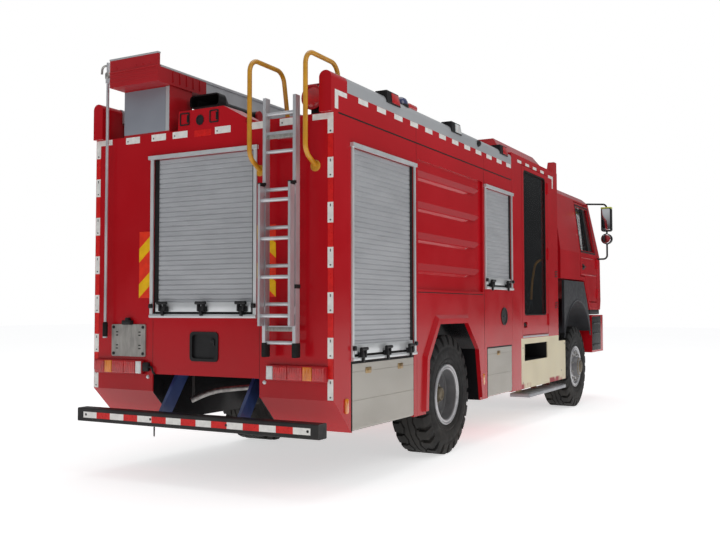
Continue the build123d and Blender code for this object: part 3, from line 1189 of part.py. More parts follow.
# Front bumper with its side wings, and the headlamps in it
BUMPER_DROP = 420
BUMPER_RISE = 160
WING_LEAD = 775
BUMPER_ROUND = 190
WING_THICK = 130
HEADLAMP_IN = 530
HEADLAMP_OUT = 170
HEADLAMP_LIFT = 200
HEADLAMP_TALL = 220
HEADLAMP_DEEP = 70
HEADLAMP_BACK = 20
INTAKE_HALF = 560
INTAKE_SLOTS = 3
INTAKE_LIFT = 110
INTAKE_TALL = 46
INTAKE_PITCH = 88
INTAKE_DEEP = 120
BUMPER_Z0 = FRAME_TOP_Z - BUMPER_DROP
BUMPER_Z1 = FRAME_TOP_Z + BUMPER_RISE
WING_A0 = FRONT_AXLE + WING_LEAD
HEADLAMP_Y0 = HALF - HEADLAMP_IN
HEADLAMP_Y1 = HALF - HEADLAMP_OUT
HEADLAMP_Z0 = BUMPER_Z0 + HEADLAMP_LIFT
HEADLAMP_Z1 = HEADLAMP_Z0 + HEADLAMP_TALL
with BuildPart() as front_bumper:
    block(WING_A0, FRONT_FACE, -HALF, HALF, BUMPER_Z0, BUMPER_Z1)
    fillet(front_bumper.edges().filter_by(Axis.Z).group_by(Axis.X)[-1], BUMPER_ROUND)
    block(WING_A0 - OVERCUT, FRAME_FRONT, WING_THICK - HALF, HALF - WING_THICK, BUMPER_Z0 - OVERCUT,
          BUMPER_Z1 + OVERCUT, Mode.SUBTRACT)
    for side in both_sides():
        block(FRONT_FACE - HEADLAMP_DEEP, FRONT_FACE + OVERCUT, side * HEADLAMP_Y0, side * HEADLAMP_Y1,
              HEADLAMP_Z0, HEADLAMP_Z1, Mode.SUBTRACT)
    for number in range(INTAKE_SLOTS):
        slot_z = BUMPER_Z0 + INTAKE_LIFT + number * INTAKE_PITCH
        block(FRONT_FACE - INTAKE_DEEP, FRONT_FACE + OVERCUT, -INTAKE_HALF, INTAKE_HALF, slot_z,
              slot_z + INTAKE_TALL, Mode.SUBTRACT)
front_bumper.part.label = "front_bumper"
export_step(front_bumper.part, "parts/front_bumper.step")

with BuildPart() as headlamps:
    for side in both_sides():
        block(FRONT_FACE - HEADLAMP_DEEP, FRONT_FACE - HEADLAMP_BACK, side * HEADLAMP_Y0, side * HEADLAMP_Y1,
              HEADLAMP_Z0, HEADLAMP_Z1)
headlamps.part.label = "headlamps"
export_step(headlamps.part, "parts/headlamps.step")

# Black mudguards over the front wheels, carried on arms from the frame
GUARD_RADIUS = 760
GUARD_LIFT = 210
GUARD_LOW_RISE = 510
GUARD_INSET = 420
GUARD_BACK = 15
GUARD_SKIN = 35
GUARD_REAR = 715
GUARD_TOP_LEAD = 375
GUARD_TOP_DROP = 22
GUARD_KNEE_LEAD = 600
GUARD_KNEE_RISE = 400
GUARD_NOSE_LEAD = 715
GUARD_NOSE_RISE = 150
GUARD_FOOT_LEAD = 755
GUARD_REACH = 900
ARM_BACK = 737
ARM_LONG = 36
ARM_RISE = 60
ARM_OVER = 70
GUARD_Z = AXLE_Z + GUARD_LIFT
GUARD_LOW = AXLE_Z + GUARD_LOW_RISE
GUARD_IN = HALF - GUARD_INSET
GUARD_OUT = HALF - GUARD_BACK
GUARD_TOP = CAB_LOW_Z - GUARD_TOP_DROP
GUARD_LINE = [(FRONT_AXLE - GUARD_REAR, GUARD_LOW), (FRONT_AXLE - GUARD_REAR, GUARD_TOP),
              (FRONT_AXLE + GUARD_TOP_LEAD, GUARD_TOP),
              (FRONT_AXLE + GUARD_KNEE_LEAD, GUARD_LOW + GUARD_KNEE_RISE),
              (FRONT_AXLE + GUARD_NOSE_LEAD, GUARD_LOW + GUARD_NOSE_RISE),
              (FRONT_AXLE + GUARD_FOOT_LEAD, GUARD_LOW)]
with BuildPart() as mudguards:
    for side in both_sides():
        rod_y(FRONT_AXLE, side * GUARD_IN, side * GUARD_OUT, GUARD_Z, GUARD_RADIUS + GUARD_SKIN)
        block(FRONT_AXLE - GUARD_REACH, FRONT_AXLE + GUARD_REACH, side * (GUARD_IN - OVERCUT),
              side * (GUARD_OUT + OVERCUT), GUARD_Z - GUARD_REACH, GUARD_LOW, Mode.SUBTRACT)
        side_prism(GUARD_LINE, side * (GUARD_OUT - GUARD_SKIN), side * GUARD_OUT)
        rod_y(FRONT_AXLE, side * (GUARD_IN - OVERCUT), side * (GUARD_OUT + OVERCUT), GUARD_Z, GUARD_RADIUS,
              Mode.SUBTRACT)
        block(FRONT_AXLE - ARM_BACK, FRONT_AXLE - ARM_BACK + ARM_LONG, side * FRAME_OUT,
              side * (GUARD_IN + ARM_OVER), GUARD_LOW, GUARD_LOW + ARM_RISE)
mudguards.part.label = "mudguards"
export_step(mudguards.part, "parts/mudguards.step")

# Cab: a rounded shell drawn from its side view, its front view and its plan
CAB_INSET = 15
CAB_TUMBLE = 105
BELT_RISE = 410
CAB_TALL = 1320
CAB_STEP_RISE = 245
CAB_ARCH_LEAD = 415
CAB_KNEE_LEAD = 665
CAB_KNEE_RISE = 75
CAB_TOE_LEAD = 715
NOSE_TUCK = 40
NOSE_TUCK_RISE = 135
BROW_BACK = 20
BROW_DROP = 80
SCREEN_RAKE = 330
SCREEN_DROP = 110
ROOF_BACK = 430
ROOF_EDGE = 90
CAB_ROUND = 70
CAB_WALL = 60
CAB_HALF = HALF - CAB_INSET
CAB_TOP_HALF = CAB_HALF - CAB_TUMBLE
BELT_Z = CAB_LOW_Z + BELT_RISE
CAB_ROOF_Z = CAB_LOW_Z + CAB_TALL
CAB_STEP_Z = FRAME_TOP_Z + CAB_STEP_RISE
CAB_SIDE = [(CAB_REAR, CAB_LOW_Z), (FRONT_AXLE + CAB_ARCH_LEAD, CAB_LOW_Z),
            (FRONT_AXLE + CAB_KNEE_LEAD, CAB_STEP_Z + CAB_KNEE_RISE),
            (FRONT_AXLE + CAB_TOE_LEAD, CAB_STEP_Z),
            (CAB_NOSE - NOSE_TUCK, CAB_STEP_Z), (CAB_NOSE, CAB_STEP_Z + NOSE_TUCK_RISE),
            (CAB_NOSE - BROW_BACK, BELT_Z - BROW_DROP), (CAB_NOSE - SCREEN_RAKE, CAB_ROOF_Z - SCREEN_DROP),
            (CAB_NOSE - ROOF_BACK, CAB_ROOF_Z), (CAB_REAR, CAB_ROOF_Z)]
CAB_FRONT = [(-CAB_HALF, FRAME_TOP_Z), (CAB_HALF, FRAME_TOP_Z), (CAB_HALF, BELT_Z),
             (CAB_TOP_HALF, CAB_ROOF_Z - ROOF_EDGE), (CAB_TOP_HALF - ROOF_EDGE, CAB_ROOF_Z),
             (ROOF_EDGE - CAB_TOP_HALF, CAB_ROOF_Z), (-CAB_TOP_HALF, CAB_ROOF_Z - ROOF_EDGE),
             (-CAB_HALF, BELT_Z)]


def cab_form(inset):
    """The cab's outer form drawn in by an even distance on all faces."""
    with BuildPart() as form:
        with BuildSketch(Plane.XZ.offset(-CAB_HALF)) as profile:
            with BuildLine():
                Polyline(*[(REAR_WALL_X + a, z) for a, z in CAB_SIDE], close=True)
            make_face()
            if inset > 0:
                offset(amount=-inset, kind=Kind.INTERSECTION, mode=Mode.REPLACE)
        extrude(profile.sketch, amount=2 * CAB_HALF)
        with BuildSketch(Plane.YZ.offset(REAR_WALL_X + CAB_REAR - OVERCUT)) as section:
            with BuildLine():
                Polyline(*CAB_FRONT, close=True)
            make_face()
            if inset > 0:
                offset(amount=-inset, kind=Kind.INTERSECTION, mode=Mode.REPLACE)
        extrude(section.sketch, amount=CAB_NOSE - CAB_REAR + 2 * OVERCUT, mode=Mode.INTERSECT)
        nose_x = REAR_WALL_X + CAB_NOSE - SCREEN_RAKE - inset
        corners = [edge for edge in form.edges()
                   if edge.center().X > nose_x and abs(edge.center().Y) > CAB_TOP_HALF - 2 * inset
                   and abs((edge % 0.5).Y) < 0.5 and abs((edge % 0.5).Z) > 0.5]
        fillet(corners, CAB_ROUND - inset / 2)
    return form.part


CAB_DOOR_LEAD = 185
CAB_DOOR_BACK = 310
CAB_DOOR_SILL = 60
CAB_DOOR_ARCH = 455
CAB_DOOR_KNEE = 695
CAB_DOOR_FOOT = 115
CAB_DOOR_BELT = 20
CAB_DOOR_RAKE = 165
CAB_DOOR_HEAD = 115
CAB_DOOR_IN = 235
CAB_DOOR_GAP = 14
WINDOW_REAR = 80
WINDOW_FRONT = 100
WINDOW_RAKE = 220
WINDOW_FOOT = 50
WINDOW_HEAD = 190
SCREEN_INSET = 215
SCREEN_FOOT = 20
SCREEN_HEAD = 150
SCREEN_REACH = 580
REAR_PANE_HALF = 600
REAR_PANE_FOOT = 220
REAR_PANE_TALL = 400
GLASS_OUT = 22
GLASS_IN = 32
CAB_HINGE_RADIUS = 24
CAB_HINGE_LOW = 140
CAB_HINGE_TOP = 150
EAR_ROOT = 5
GRILLE_HALF = 620
GRILLE_SLOTS = 5
GRILLE_LIFT = 330
GRILLE_TALL = 38
GRILLE_PITCH = 74
GRILLE_DEEP = 30
CAB_DOOR_A0 = FRONT_AXLE + CAB_DOOR_LEAD
CAB_DOOR_A1 = CAB_NOSE - CAB_DOOR_BACK
CAB_DOOR = [(CAB_DOOR_A0, CAB_LOW_Z + CAB_DOOR_SILL),
            (FRONT_AXLE + CAB_DOOR_ARCH, CAB_LOW_Z + CAB_DOOR_SILL),
            (FRONT_AXLE + CAB_DOOR_KNEE, CAB_STEP_Z + CAB_DOOR_FOOT),
            (CAB_DOOR_A1, CAB_STEP_Z + CAB_DOOR_FOOT),
            (CAB_DOOR_A1, BELT_Z + CAB_DOOR_BELT), (CAB_DOOR_A1 - CAB_DOOR_RAKE, CAB_ROOF_Z - CAB_DOOR_HEAD),
            (CAB_DOOR_A0, CAB_ROOF_Z - CAB_DOOR_HEAD)]
CAB_WINDOW = [(CAB_DOOR_A0 + WINDOW_REAR, BELT_Z + WINDOW_FOOT),
              (CAB_DOOR_A1 - WINDOW_FRONT, BELT_Z + WINDOW_FOOT),
              (CAB_DOOR_A1 - WINDOW_RAKE, CAB_ROOF_Z - WINDOW_HEAD),
              (CAB_DOOR_A0 + WINDOW_REAR, CAB_ROOF_Z - WINDOW_HEAD)]
CAB_DOOR_CUT = CAB_HALF - CAB_DOOR_IN
CAB_HINGE_A = CAB_DOOR_A1 - CAB_DOOR_GAP
CAB_HINGES = (CAB_STEP_Z + CAB_DOOR_FOOT + CAB_HINGE_LOW, BELT_Z + CAB_DOOR_BELT - CAB_HINGE_TOP)
SCREEN_HALF = CAB_HALF - SCREEN_INSET
SCREEN_Z0 = BELT_Z - SCREEN_FOOT
SCREEN_Z1 = CAB_ROOF_Z - SCREEN_HEAD
REAR_PANE_Z = BELT_Z + REAR_PANE_FOOT
cab_outer = cab_form(0)
cab_inner = cab_form(CAB_WALL)
cab_glass_outer = cab_form(GLASS_OUT)
cab_glass_inner = cab_form(GLASS_IN)


def door_outline(inset, mode, y0, y1):
    """The cab door's side-view outline, drawn in by the door gap where asked."""
    with BuildSketch(Plane.XZ.offset(-max(y0, y1))) as outline:
        with BuildLine():
            Polyline(*[(REAR_WALL_X + a, z) for a, z in CAB_DOOR], close=True)
        make_face()
        if inset > 0:
            offset(amount=-inset, kind=Kind.INTERSECTION, mode=Mode.REPLACE)
    extrude(outline.sketch, amount=abs(y1 - y0), mode=mode)


with BuildPart() as cab_shell:
    add(cab_outer)
    add(cab_inner, mode=Mode.SUBTRACT)
    for side in both_sides():
        door_outline(0, Mode.SUBTRACT, side * CAB_DOOR_CUT, side * (CAB_HALF + OVERCUT))
    block(CAB_NOSE - SCREEN_REACH, CAB_NOSE + OVERCUT, -SCREEN_HALF, SCREEN_HALF, SCREEN_Z0, SCREEN_Z1,
          Mode.SUBTRACT)
    block(CAB_REAR - OVERCUT, CAB_REAR + CAB_WALL + OVERCUT, -REAR_PANE_HALF, REAR_PANE_HALF, REAR_PANE_Z,
          REAR_PANE_Z + REAR_PANE_TALL, Mode.SUBTRACT)
    for number in range(GRILLE_SLOTS):
        slot_z = CAB_STEP_Z + GRILLE_LIFT + number * GRILLE_PITCH
        block(CAB_NOSE - GRILLE_DEEP, CAB_NOSE + OVERCUT, -GRILLE_HALF, GRILLE_HALF, slot_z,
              slot_z + GRILLE_TALL, Mode.SUBTRACT)
    for side in both_sides():
        ear_in = side * (FRAME_OUT + CAB_EAR_GAP)
        ear_out = side * (FRAME_OUT + CAB_EAR_GAP + CAB_EAR)
        block(CAB_PIVOT_A - CAB_PIVOT_EYE, CAB_PIVOT_A + CAB_PIVOT_EYE, ear_in, ear_out, CAB_PIVOT_Z,
              CAB_STEP_Z + EAR_ROOT)
        rod_y(CAB_PIVOT_A, ear_in, ear_out, CAB_PIVOT_Z, CAB_PIVOT_EYE)
        rod_y(CAB_PIVOT_A, ear_in, ear_out, CAB_PIVOT_Z, CAB_PIVOT_PIN + PIN_FIT, Mode.SUBTRACT)
        hinge_lugs(CAB_HINGE_A, side * CAB_HALF, CAB_HINGES, CAB_HINGE_RADIUS)
cab_shell.part.label = "cab_shell"
export_step(cab_shell.part, "parts/cab_shell.step")

with BuildPart() as cab_glass:
    add(cab_glass_outer)
    add(cab_glass_inner, mode=Mode.SUBTRACT)
    block(CAB_NOSE - SCREEN_REACH, CAB_NOSE + OVERCUT, -SCREEN_HALF, SCREEN_HALF, SCREEN_Z0, SCREEN_Z1,
          Mode.INTERSECT)
    block(CAB_REAR + GLASS_OUT, CAB_REAR + GLASS_IN, -REAR_PANE_HALF, REAR_PANE_HALF, REAR_PANE_Z,
          REAR_PANE_Z + REAR_PANE_TALL)
cab_glass.part.label = "cab_glass"
export_step(cab_glass.part, "parts/cab_glass.step")

for side in both_sides():
    with BuildPart() as cab_door:
        add(cab_outer)
        add(cab_inner, mode=Mode.SUBTRACT)
        door_outline(CAB_DOOR_GAP, Mode.INTERSECT, side * CAB_DOOR_CUT, side * (CAB_HALF + OVERCUT))
        side_prism(CAB_WINDOW, side * CAB_DOOR_CUT, side * (CAB_HALF + OVERCUT), Mode.SUBTRACT)
        hinge_barrels(CAB_HINGE_A, side * CAB_HALF, CAB_HINGES, CAB_HINGE_RADIUS)
    cab_door.part.label = f"cab_door_{SIDE_NAMES[side]}"
    export_step(cab_door.part, f"parts/cab_door_{SIDE_NAMES[side]}.step")
    with BuildPart() as cab_door_glass:
        add(cab_glass_outer)
        add(cab_glass_inner, mode=Mode.SUBTRACT)
        side_prism(CAB_WINDOW, side * CAB_DOOR_CUT, side * (CAB_HALF + OVERCUT), Mode.INTERSECT)
    cab_door_glass.part.label = f"cab_door_glass_{SIDE_NAMES[side]}"
    export_step(cab_door_glass.part, f"parts/cab_door_glass_{SIDE_NAMES[side]}.step")

# Cab seats, instrument panel and steering wheel
SEAT_IN = 380
SEAT_WIDE = 520
SEAT_BACK = 225
SEAT_LONG = 480
SEAT_RISE = 240
REST_BACK = 305
REST_LONG = 120
REST_RISE = 860
SEAT_ROUND = 40
DASH_GAP = 15
DASH_FRONT = 60
DASH_DROP = 380
DASH_HEAD = 90
DASH_ROUND = 60
HELM_BACK = 620
HELM_Y = 640
HELM_RADIUS = 220
HELM_RIM = 35
HELM_HUB = 50
HELM_SPOKE = 40
HELM_THICK = 15
COLUMN_THICK = 35
COLUMN_LONG = 430
HELM_LEAN = (-0.8, 0, 0.6)
SEAT_Z = CAB_LOW_Z + CAB_WALL
SEAT_A0 = FRONT_AXLE - SEAT_BACK
REST_A0 = FRONT_AXLE - REST_BACK
with BuildPart() as cab_seats:
    for side in both_sides():
        block(SEAT_A0, SEAT_A0 + SEAT_LONG, side * SEAT_IN, side * (SEAT_IN + SEAT_WIDE), SEAT_Z,
              SEAT_Z + SEAT_RISE)
        block(REST_A0, REST_A0 + REST_LONG, side * SEAT_IN, side * (SEAT_IN + SEAT_WIDE), SEAT_Z,
              SEAT_Z + REST_RISE)
    fillet(cab_seats.edges().filter_by(Axis.Y).group_by(Axis.Z)[-1], SEAT_ROUND)
cab_seats.part.label = "cab_seats"
export_step(cab_seats.part, "parts/cab_seats.step")

helm = Plane(origin=(REAR_WALL_X + CAB_NOSE - HELM_BACK, HELM_Y, BELT_Z), z_dir=HELM_LEAN)
with BuildPart() as dashboard:
    block(CAB_DOOR_A1 + DASH_GAP, CAB_NOSE - CAB_WALL - DASH_FRONT, CAB_WALL - CAB_HALF, CAB_HALF - CAB_WALL,
          BELT_Z - DASH_DROP, BELT_Z - DASH_HEAD)
    fillet(dashboard.edges().filter_by(Axis.Y).group_by(Axis.Z)[-1].sort_by(Axis.X)[0], DASH_ROUND)
    with BuildSketch(helm) as wheel_rim:
        Circle(HELM_RADIUS)
        Circle(HELM_RADIUS - HELM_RIM, mode=Mode.SUBTRACT)
        Rectangle(2 * HELM_RADIUS - HELM_RIM, HELM_SPOKE)
        Circle(HELM_HUB)
    extrude(wheel_rim.sketch, amount=HELM_THICK, both=True)
    with BuildSketch(helm) as column:
        Circle(COLUMN_THICK)
    extrude(column.sketch, amount=-COLUMN_LONG)
dashboard.part.label = "dashboard"
export_step(dashboard.part, "parts/dashboard.step")

# Rear-view mirrors on bent arms ahead of the doors
MIRROR_BACK = 230
MIRROR_GAP = 75
MIRROR_WIDE = 160
MIRROR_THICK = 100
MIRROR_SHIFT = 55
MIRROR_RISE = 400
MIRROR_TALL = 380
MIRROR_ROUND = 30
WIDE_MIRROR_RISE = 280
WIDE_MIRROR_RADIUS = 85
WIDE_MIRROR_BACK = 50
WIDE_MIRROR_LEAD = 30
MIRROR_FOOT_DROP = 40
MIRROR_HEAD_DROP = 70
MIRROR_HEAD_BACK = 400
MIRROR_BEND = 60
MIRROR_TUBE = 14
MIRROR_A = CAB_NOSE - MIRROR_BACK
MIRROR_Y0 = CAB_HALF + MIRROR_GAP
MIRROR_MID = MIRROR_Y0 + MIRROR_WIDE / 2
MIRROR_Z0 = BELT_Z + MIRROR_RISE
MIRROR_FOOT_Z = BELT_Z - MIRROR_FOOT_DROP
MIRROR_HEAD_Z = CAB_ROOF_Z - MIRROR_HEAD_DROP
MIRROR_HEAD_Y = CAB_TOP_HALF - ROOF_EDGE + MIRROR_HEAD_DROP
with BuildPart() as mirrors:
    for side in both_sides():
        block(MIRROR_A - MIRROR_SHIFT, MIRROR_A - MIRROR_SHIFT + MIRROR_THICK, side * MIRROR_Y0,
              side * (MIRROR_Y0 + MIRROR_WIDE), MIRROR_Z0, MIRROR_Z0 + MIRROR_TALL)
    fillet(mirrors.edges().filter_by(Axis.X), MIRROR_ROUND)
    for side in both_sides():
        rod_x(MIRROR_A - WIDE_MIRROR_BACK, MIRROR_A + WIDE_MIRROR_LEAD, side * MIRROR_MID,
              BELT_Z + WIDE_MIRROR_RISE, WIDE_MIRROR_RADIUS)
        arm_x = REAR_WALL_X + MIRROR_A
        head_x = REAR_WALL_X + CAB_NOSE - MIRROR_HEAD_BACK
        pipe([(arm_x, side * CAB_HALF, MIRROR_FOOT_Z), (arm_x, side * MIRROR_MID, MIRROR_FOOT_Z),
              (arm_x, side * MIRROR_MID, MIRROR_HEAD_Z), (head_x, side * MIRROR_HEAD_Y, MIRROR_HEAD_Z)],
             MIRROR_BEND, MIRROR_TUBE)
    add(cab_outer, mode=Mode.SUBTRACT)
mirrors.part.label = "mirrors"
export_step(mirrors.part, "parts/mirrors.step")

# Steered hubs
SPINDLE_REACH = 150
ARM_LENGTH = 100
ARM_DROP = 160
FORK_HALF = 55
FORK_IN = 50
FORK_OUT = 110
FORK_THICK = 35
PLATE_HALF = 90
PLATE_FROM = 80
PLATE_TO = 115
PIN_OVER = 20
ARM_HALF = 25
ARM_THICK = 25
ARM_BALL = 12
ROD_HALF = 15
PLATE_GAP = FIST_HALF + PIN_FIT
ARM_Z = AXLE_Z - ARM_DROP
FORK_END = PLATE_GAP + FORK_THICK
ARM_TOP = AXLE_Z - FORK_END + ARM_THICK
for side in both_sides():
    with BuildPart() as knuckle:
        for way in both_sides():
            block(FRONT_AXLE - FORK_HALF, FRONT_AXLE + FORK_HALF, side * (KINGPIN_Y - FORK_IN),
                  side * (KINGPIN_Y + FORK_OUT), AXLE_Z + way * PLATE_GAP, AXLE_Z + way * FORK_END)
        block(FRONT_AXLE - PLATE_HALF, FRONT_AXLE + PLATE_HALF, side * (KINGPIN_Y + PLATE_FROM),
              side * (KINGPIN_Y + PLATE_TO), AXLE_Z - FORK_END, AXLE_Z + FORK_END)
        rod_z(FRONT_AXLE, side * KINGPIN_Y, AXLE_Z - PLATE_GAP - PIN_OVER, AXLE_Z + PLATE_GAP + PIN_OVER,
              KINGPIN_RADIUS)
        rod_y(FRONT_AXLE, side * (KINGPIN_Y + PLATE_FROM + PIN_OVER), side * (WHEEL_Y + SPINDLE_REACH),
              AXLE_Z, STUB_RADIUS)
        block(FRONT_AXLE - ARM_LENGTH, FRONT_AXLE, side * (KINGPIN_Y - ARM_HALF),
              side * (KINGPIN_Y + ARM_HALF), AXLE_Z - FORK_END, ARM_TOP)
        rod_z(FRONT_AXLE - ARM_LENGTH, side * KINGPIN_Y, AXLE_Z - FORK_END, ARM_TOP, ARM_HALF)
        rod_z(FRONT_AXLE - ARM_LENGTH, side * KINGPIN_Y, ARM_Z - ROD_HALF, ARM_TOP, ARM_BALL)
    knuckle.part.label = f"knuckle_{SIDE_NAMES[side]}"
    export_step(knuckle.part, f"parts/knuckle_{SIDE_NAMES[side]}.step")

# Track rod between the steering arms
ROD_EYE = 28
with BuildPart() as tie_rod:
    rod_y(FRONT_AXLE - ARM_LENGTH, -KINGPIN_Y, KINGPIN_Y, ARM_Z, ROD_HALF)
    for side in both_sides():
        rod_z(FRONT_AXLE - ARM_LENGTH, side * KINGPIN_Y, ARM_Z - ROD_HALF, ARM_Z + ROD_HALF, ROD_EYE)
    for side in both_sides():
        rod_z(FRONT_AXLE - ARM_LENGTH, side * KINGPIN_Y, ARM_Z - ROD_HALF - OVERCUT,
              ARM_Z + ROD_HALF + OVERCUT, ARM_BALL + PIN_FIT, Mode.SUBTRACT)
tie_rod.part.label = "tie_rod"
export_step(tie_rod.part, "parts/tie_rod.step")

# Wheels: tyre and rim turned about the axle line, the tyre's shoulders cut into lugs
BEAD_HALF = 150
FLANGE_HALF = 165
LIP_HALF = 176
LIP_DROP = 14
LIP_TUCK = 10
WALL_SHARE = 0.22
BULGE_SHARE = 0.52
WALL_BACK = 5
SHOULDER_BACK = 9
SHOULDER_DROP = 45
TREAD_BACK = 30
LUG_COUNT = 24
LUG_GROOVE = 45
LUG_DEEP = 42
LUG_IN = 100
TYRE_HALF = TYRE_WIDTH / 2
BORE = STUB_RADIUS + PIN_FIT


def ring_about_axle(points, axle, side):
    """Section points (out from the wheel's middle, radius) turned about the axle line."""
    centre_y = side * WHEEL_Y
    with BuildSketch(Plane.YZ.offset(REAR_WALL_X + axle)) as section:
        with BuildLine():
            Polyline(*[(centre_y + side * out, AXLE_Z + radius) for out, radius in points], close=True)
        make_face()
    revolve(section.sketch, axis=Axis((REAR_WALL_X + axle, 0, AXLE_Z), (0, 1, 0)))


def height_at(share):
    """Radius at a share of the way up the tyre's wall."""
    return FLANGE_RADIUS + share * (TYRE_RADIUS - FLANGE_RADIUS)


TYRE_OUTSIDE = [(BEAD_HALF, BEAD_RADIUS), (FLANGE_HALF, FLANGE_RADIUS),
                (TYRE_HALF - WALL_BACK, height_at(WALL_SHARE)),
                (TYRE_HALF, height_at(BULGE_SHARE)),
                (TYRE_HALF - SHOULDER_BACK, TYRE_RADIUS - SHOULDER_DROP),
                (TYRE_HALF - TREAD_BACK, TYRE_RADIUS)]
TYRE_SECTION = TYRE_OUTSIDE + [(-out, radius) for out, radius in reversed(TYRE_OUTSIDE)]
RIM_WELL = [(-LIP_HALF, FLANGE_RADIUS), (-FLANGE_HALF, FLANGE_RADIUS), (-BEAD_HALF, BEAD_RADIUS),
            (BEAD_HALF, BEAD_RADIUS), (FLANGE_HALF, FLANGE_RADIUS), (LIP_HALF, FLANGE_RADIUS),
            (LIP_HALF - LIP_TUCK, BEAD_RADIUS - LIP_DROP)]
RIM_BACK = [(LIP_TUCK - LIP_HALF, BEAD_RADIUS - LIP_DROP)]
DISC_EDGE = 40
DISC_DISH = 20
DISC_FACE = 60
DISC_BACK = 95
REAR_HUB_FACE = 45
FRONT_HUB_BACK = 110
FRONT_HUB_STEP = 165
FRONT_HUB_FACE = 250
DISC_RISE = 36
DISC_RING = 93
REAR_HUB = 70
REAR_HUB_ROUND = 25
FRONT_HUB = 100
FRONT_HUB_TAPER = 12
FRONT_HUB_ROUND = 45
FRONT_HUB_DISH = 15
FRONT_HUB_RISE = 68
REAR_DISC = [(DISC_EDGE, BEAD_RADIUS - LIP_DROP), (-DISC_DISH, BEAD_RADIUS - DISC_RISE),
             (-DISC_FACE, BEAD_RADIUS - DISC_RING), (-DISC_FACE, BORE + REAR_HUB),
             (DISC_EDGE, BORE + REAR_HUB),
             (REAR_HUB_FACE, BORE + REAR_HUB_ROUND), (REAR_HUB_FACE, BORE), (-DISC_BACK, BORE),
             (-DISC_BACK, BEAD_RADIUS - DISC_RISE)]
FRONT_DISC = [(BEAD_HALF, BEAD_RADIUS - DISC_RISE), (BEAD_HALF + DISC_DISH / 2, BEAD_RADIUS - DISC_RING),
              (FRONT_HUB_STEP, BORE + FRONT_HUB),
              (FRONT_HUB_FACE - DISC_DISH, BORE + FRONT_HUB - FRONT_HUB_TAPER),
              (FRONT_HUB_FACE, BORE + FRONT_HUB_ROUND), (FRONT_HUB_FACE, BORE + FRONT_HUB_DISH),
              (FRONT_HUB_STEP, BORE + FRONT_HUB_DISH), (FRONT_HUB_STEP, BORE), (FRONT_HUB_BACK, BORE),
              (FRONT_HUB_BACK, BEAD_RADIUS - FRONT_HUB_RISE), (DISC_FACE, BEAD_RADIUS - LIP_DROP)]
WHEELS = {
    "rear_right": (REAR_AXLE, -1, REAR_DISC),
    "rear_left": (REAR_AXLE, 1, REAR_DISC),
    "front_right": (FRONT_AXLE, -1, FRONT_DISC),
    "front_left": (FRONT_AXLE, 1, FRONT_DISC),
}
for wheel_name, (axle, side, disc) in WHEELS.items():
    with BuildPart() as tyre:
        ring_about_axle(TYRE_SECTION, axle, side)
        for way in both_sides():
            with Locations(Plane(origin=(REAR_WALL_X + axle, side * WHEEL_Y + way * (LUG_IN + TYRE_HALF) / 2,
                                         AXLE_Z),
                                 z_dir=(0, 1, 0))):
                with PolarLocations(TYRE_RADIUS, LUG_COUNT, start_angle=(1 + way) * 90 / LUG_COUNT):
                    Box(2 * LUG_DEEP, LUG_GROOVE, TYRE_HALF - LUG_IN + OVERCUT, mode=Mode.SUBTRACT)
    tyre.part.label = f"tyre_{wheel_name}"
    export_step(tyre.part, f"parts/tyre_{wheel_name}.step")
    with BuildPart() as rim:
        ring_about_axle(RIM_WELL + disc + RIM_BACK, axle, side)
    rim.part.label = f"rim_{wheel_name}"
    export_step(rim.part, f"parts/rim_{wheel_name}.step")
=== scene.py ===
"""Looks of the airport fire truck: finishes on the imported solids, added fittings, light and camera."""
import math

import bmesh
import bpy
from mathutils import Matrix, Vector


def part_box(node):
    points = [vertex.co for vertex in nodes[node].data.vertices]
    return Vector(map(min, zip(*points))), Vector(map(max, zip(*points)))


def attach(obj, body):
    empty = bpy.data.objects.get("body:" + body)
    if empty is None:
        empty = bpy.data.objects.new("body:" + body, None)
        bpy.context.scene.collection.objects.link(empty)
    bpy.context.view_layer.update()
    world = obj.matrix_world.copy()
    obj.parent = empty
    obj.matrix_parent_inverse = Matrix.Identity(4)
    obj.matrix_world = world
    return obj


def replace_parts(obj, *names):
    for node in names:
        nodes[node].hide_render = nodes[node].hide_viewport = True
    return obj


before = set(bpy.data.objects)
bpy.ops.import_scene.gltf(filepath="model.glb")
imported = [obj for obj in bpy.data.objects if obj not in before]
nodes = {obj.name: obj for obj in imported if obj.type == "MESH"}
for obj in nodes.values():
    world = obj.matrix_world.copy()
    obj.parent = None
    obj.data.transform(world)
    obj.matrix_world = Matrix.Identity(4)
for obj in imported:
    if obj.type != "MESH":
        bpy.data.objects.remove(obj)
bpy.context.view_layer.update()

# Stations count forward from the rear wall, where the tail lamps are fixed.
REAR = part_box("tail_lamps")[1].x
HALF = 1.25
DECK = 2.97
REAR_AXLE, FRONT_AXLE = 2.335, 7.185
SIDES = (-1, 1)
SIDE_NAMES = {-1: "right", 1: "left"}
BACK, AHEAD, UP, DOWN = (-1, 0, 0), (1, 0, 0), (0, 0, 1), (0, 0, -1)
EVEN = (1.0, 1.0, 1.0)


def at(station, across, up):
    return Vector((REAR + station, across, up))


# Finishes


def add(tree, kind, values={}, links={}):
    """New shader node, some of its inputs set and others linked."""
    made = tree.nodes.new("ShaderNode" + kind)
    for socket, value in values.items():
        made.inputs[socket].default_value = value
    for socket, source in links.items():
        tree.links.new(source, made.inputs[socket])
    return made


def place_on(tree):
    return add(tree, "TexCoord").outputs["Object"]


def noise(tree, scale, detail, stretch=EVEN):
    mapping = add(tree, "Mapping", {"Scale": stretch}, {"Vector": place_on(tree)})
    texture = add(tree, "TexNoise", {"Scale": scale, "Detail": detail}, {"Vector": mapping.outputs["Vector"]})
    return texture.outputs["Fac"]


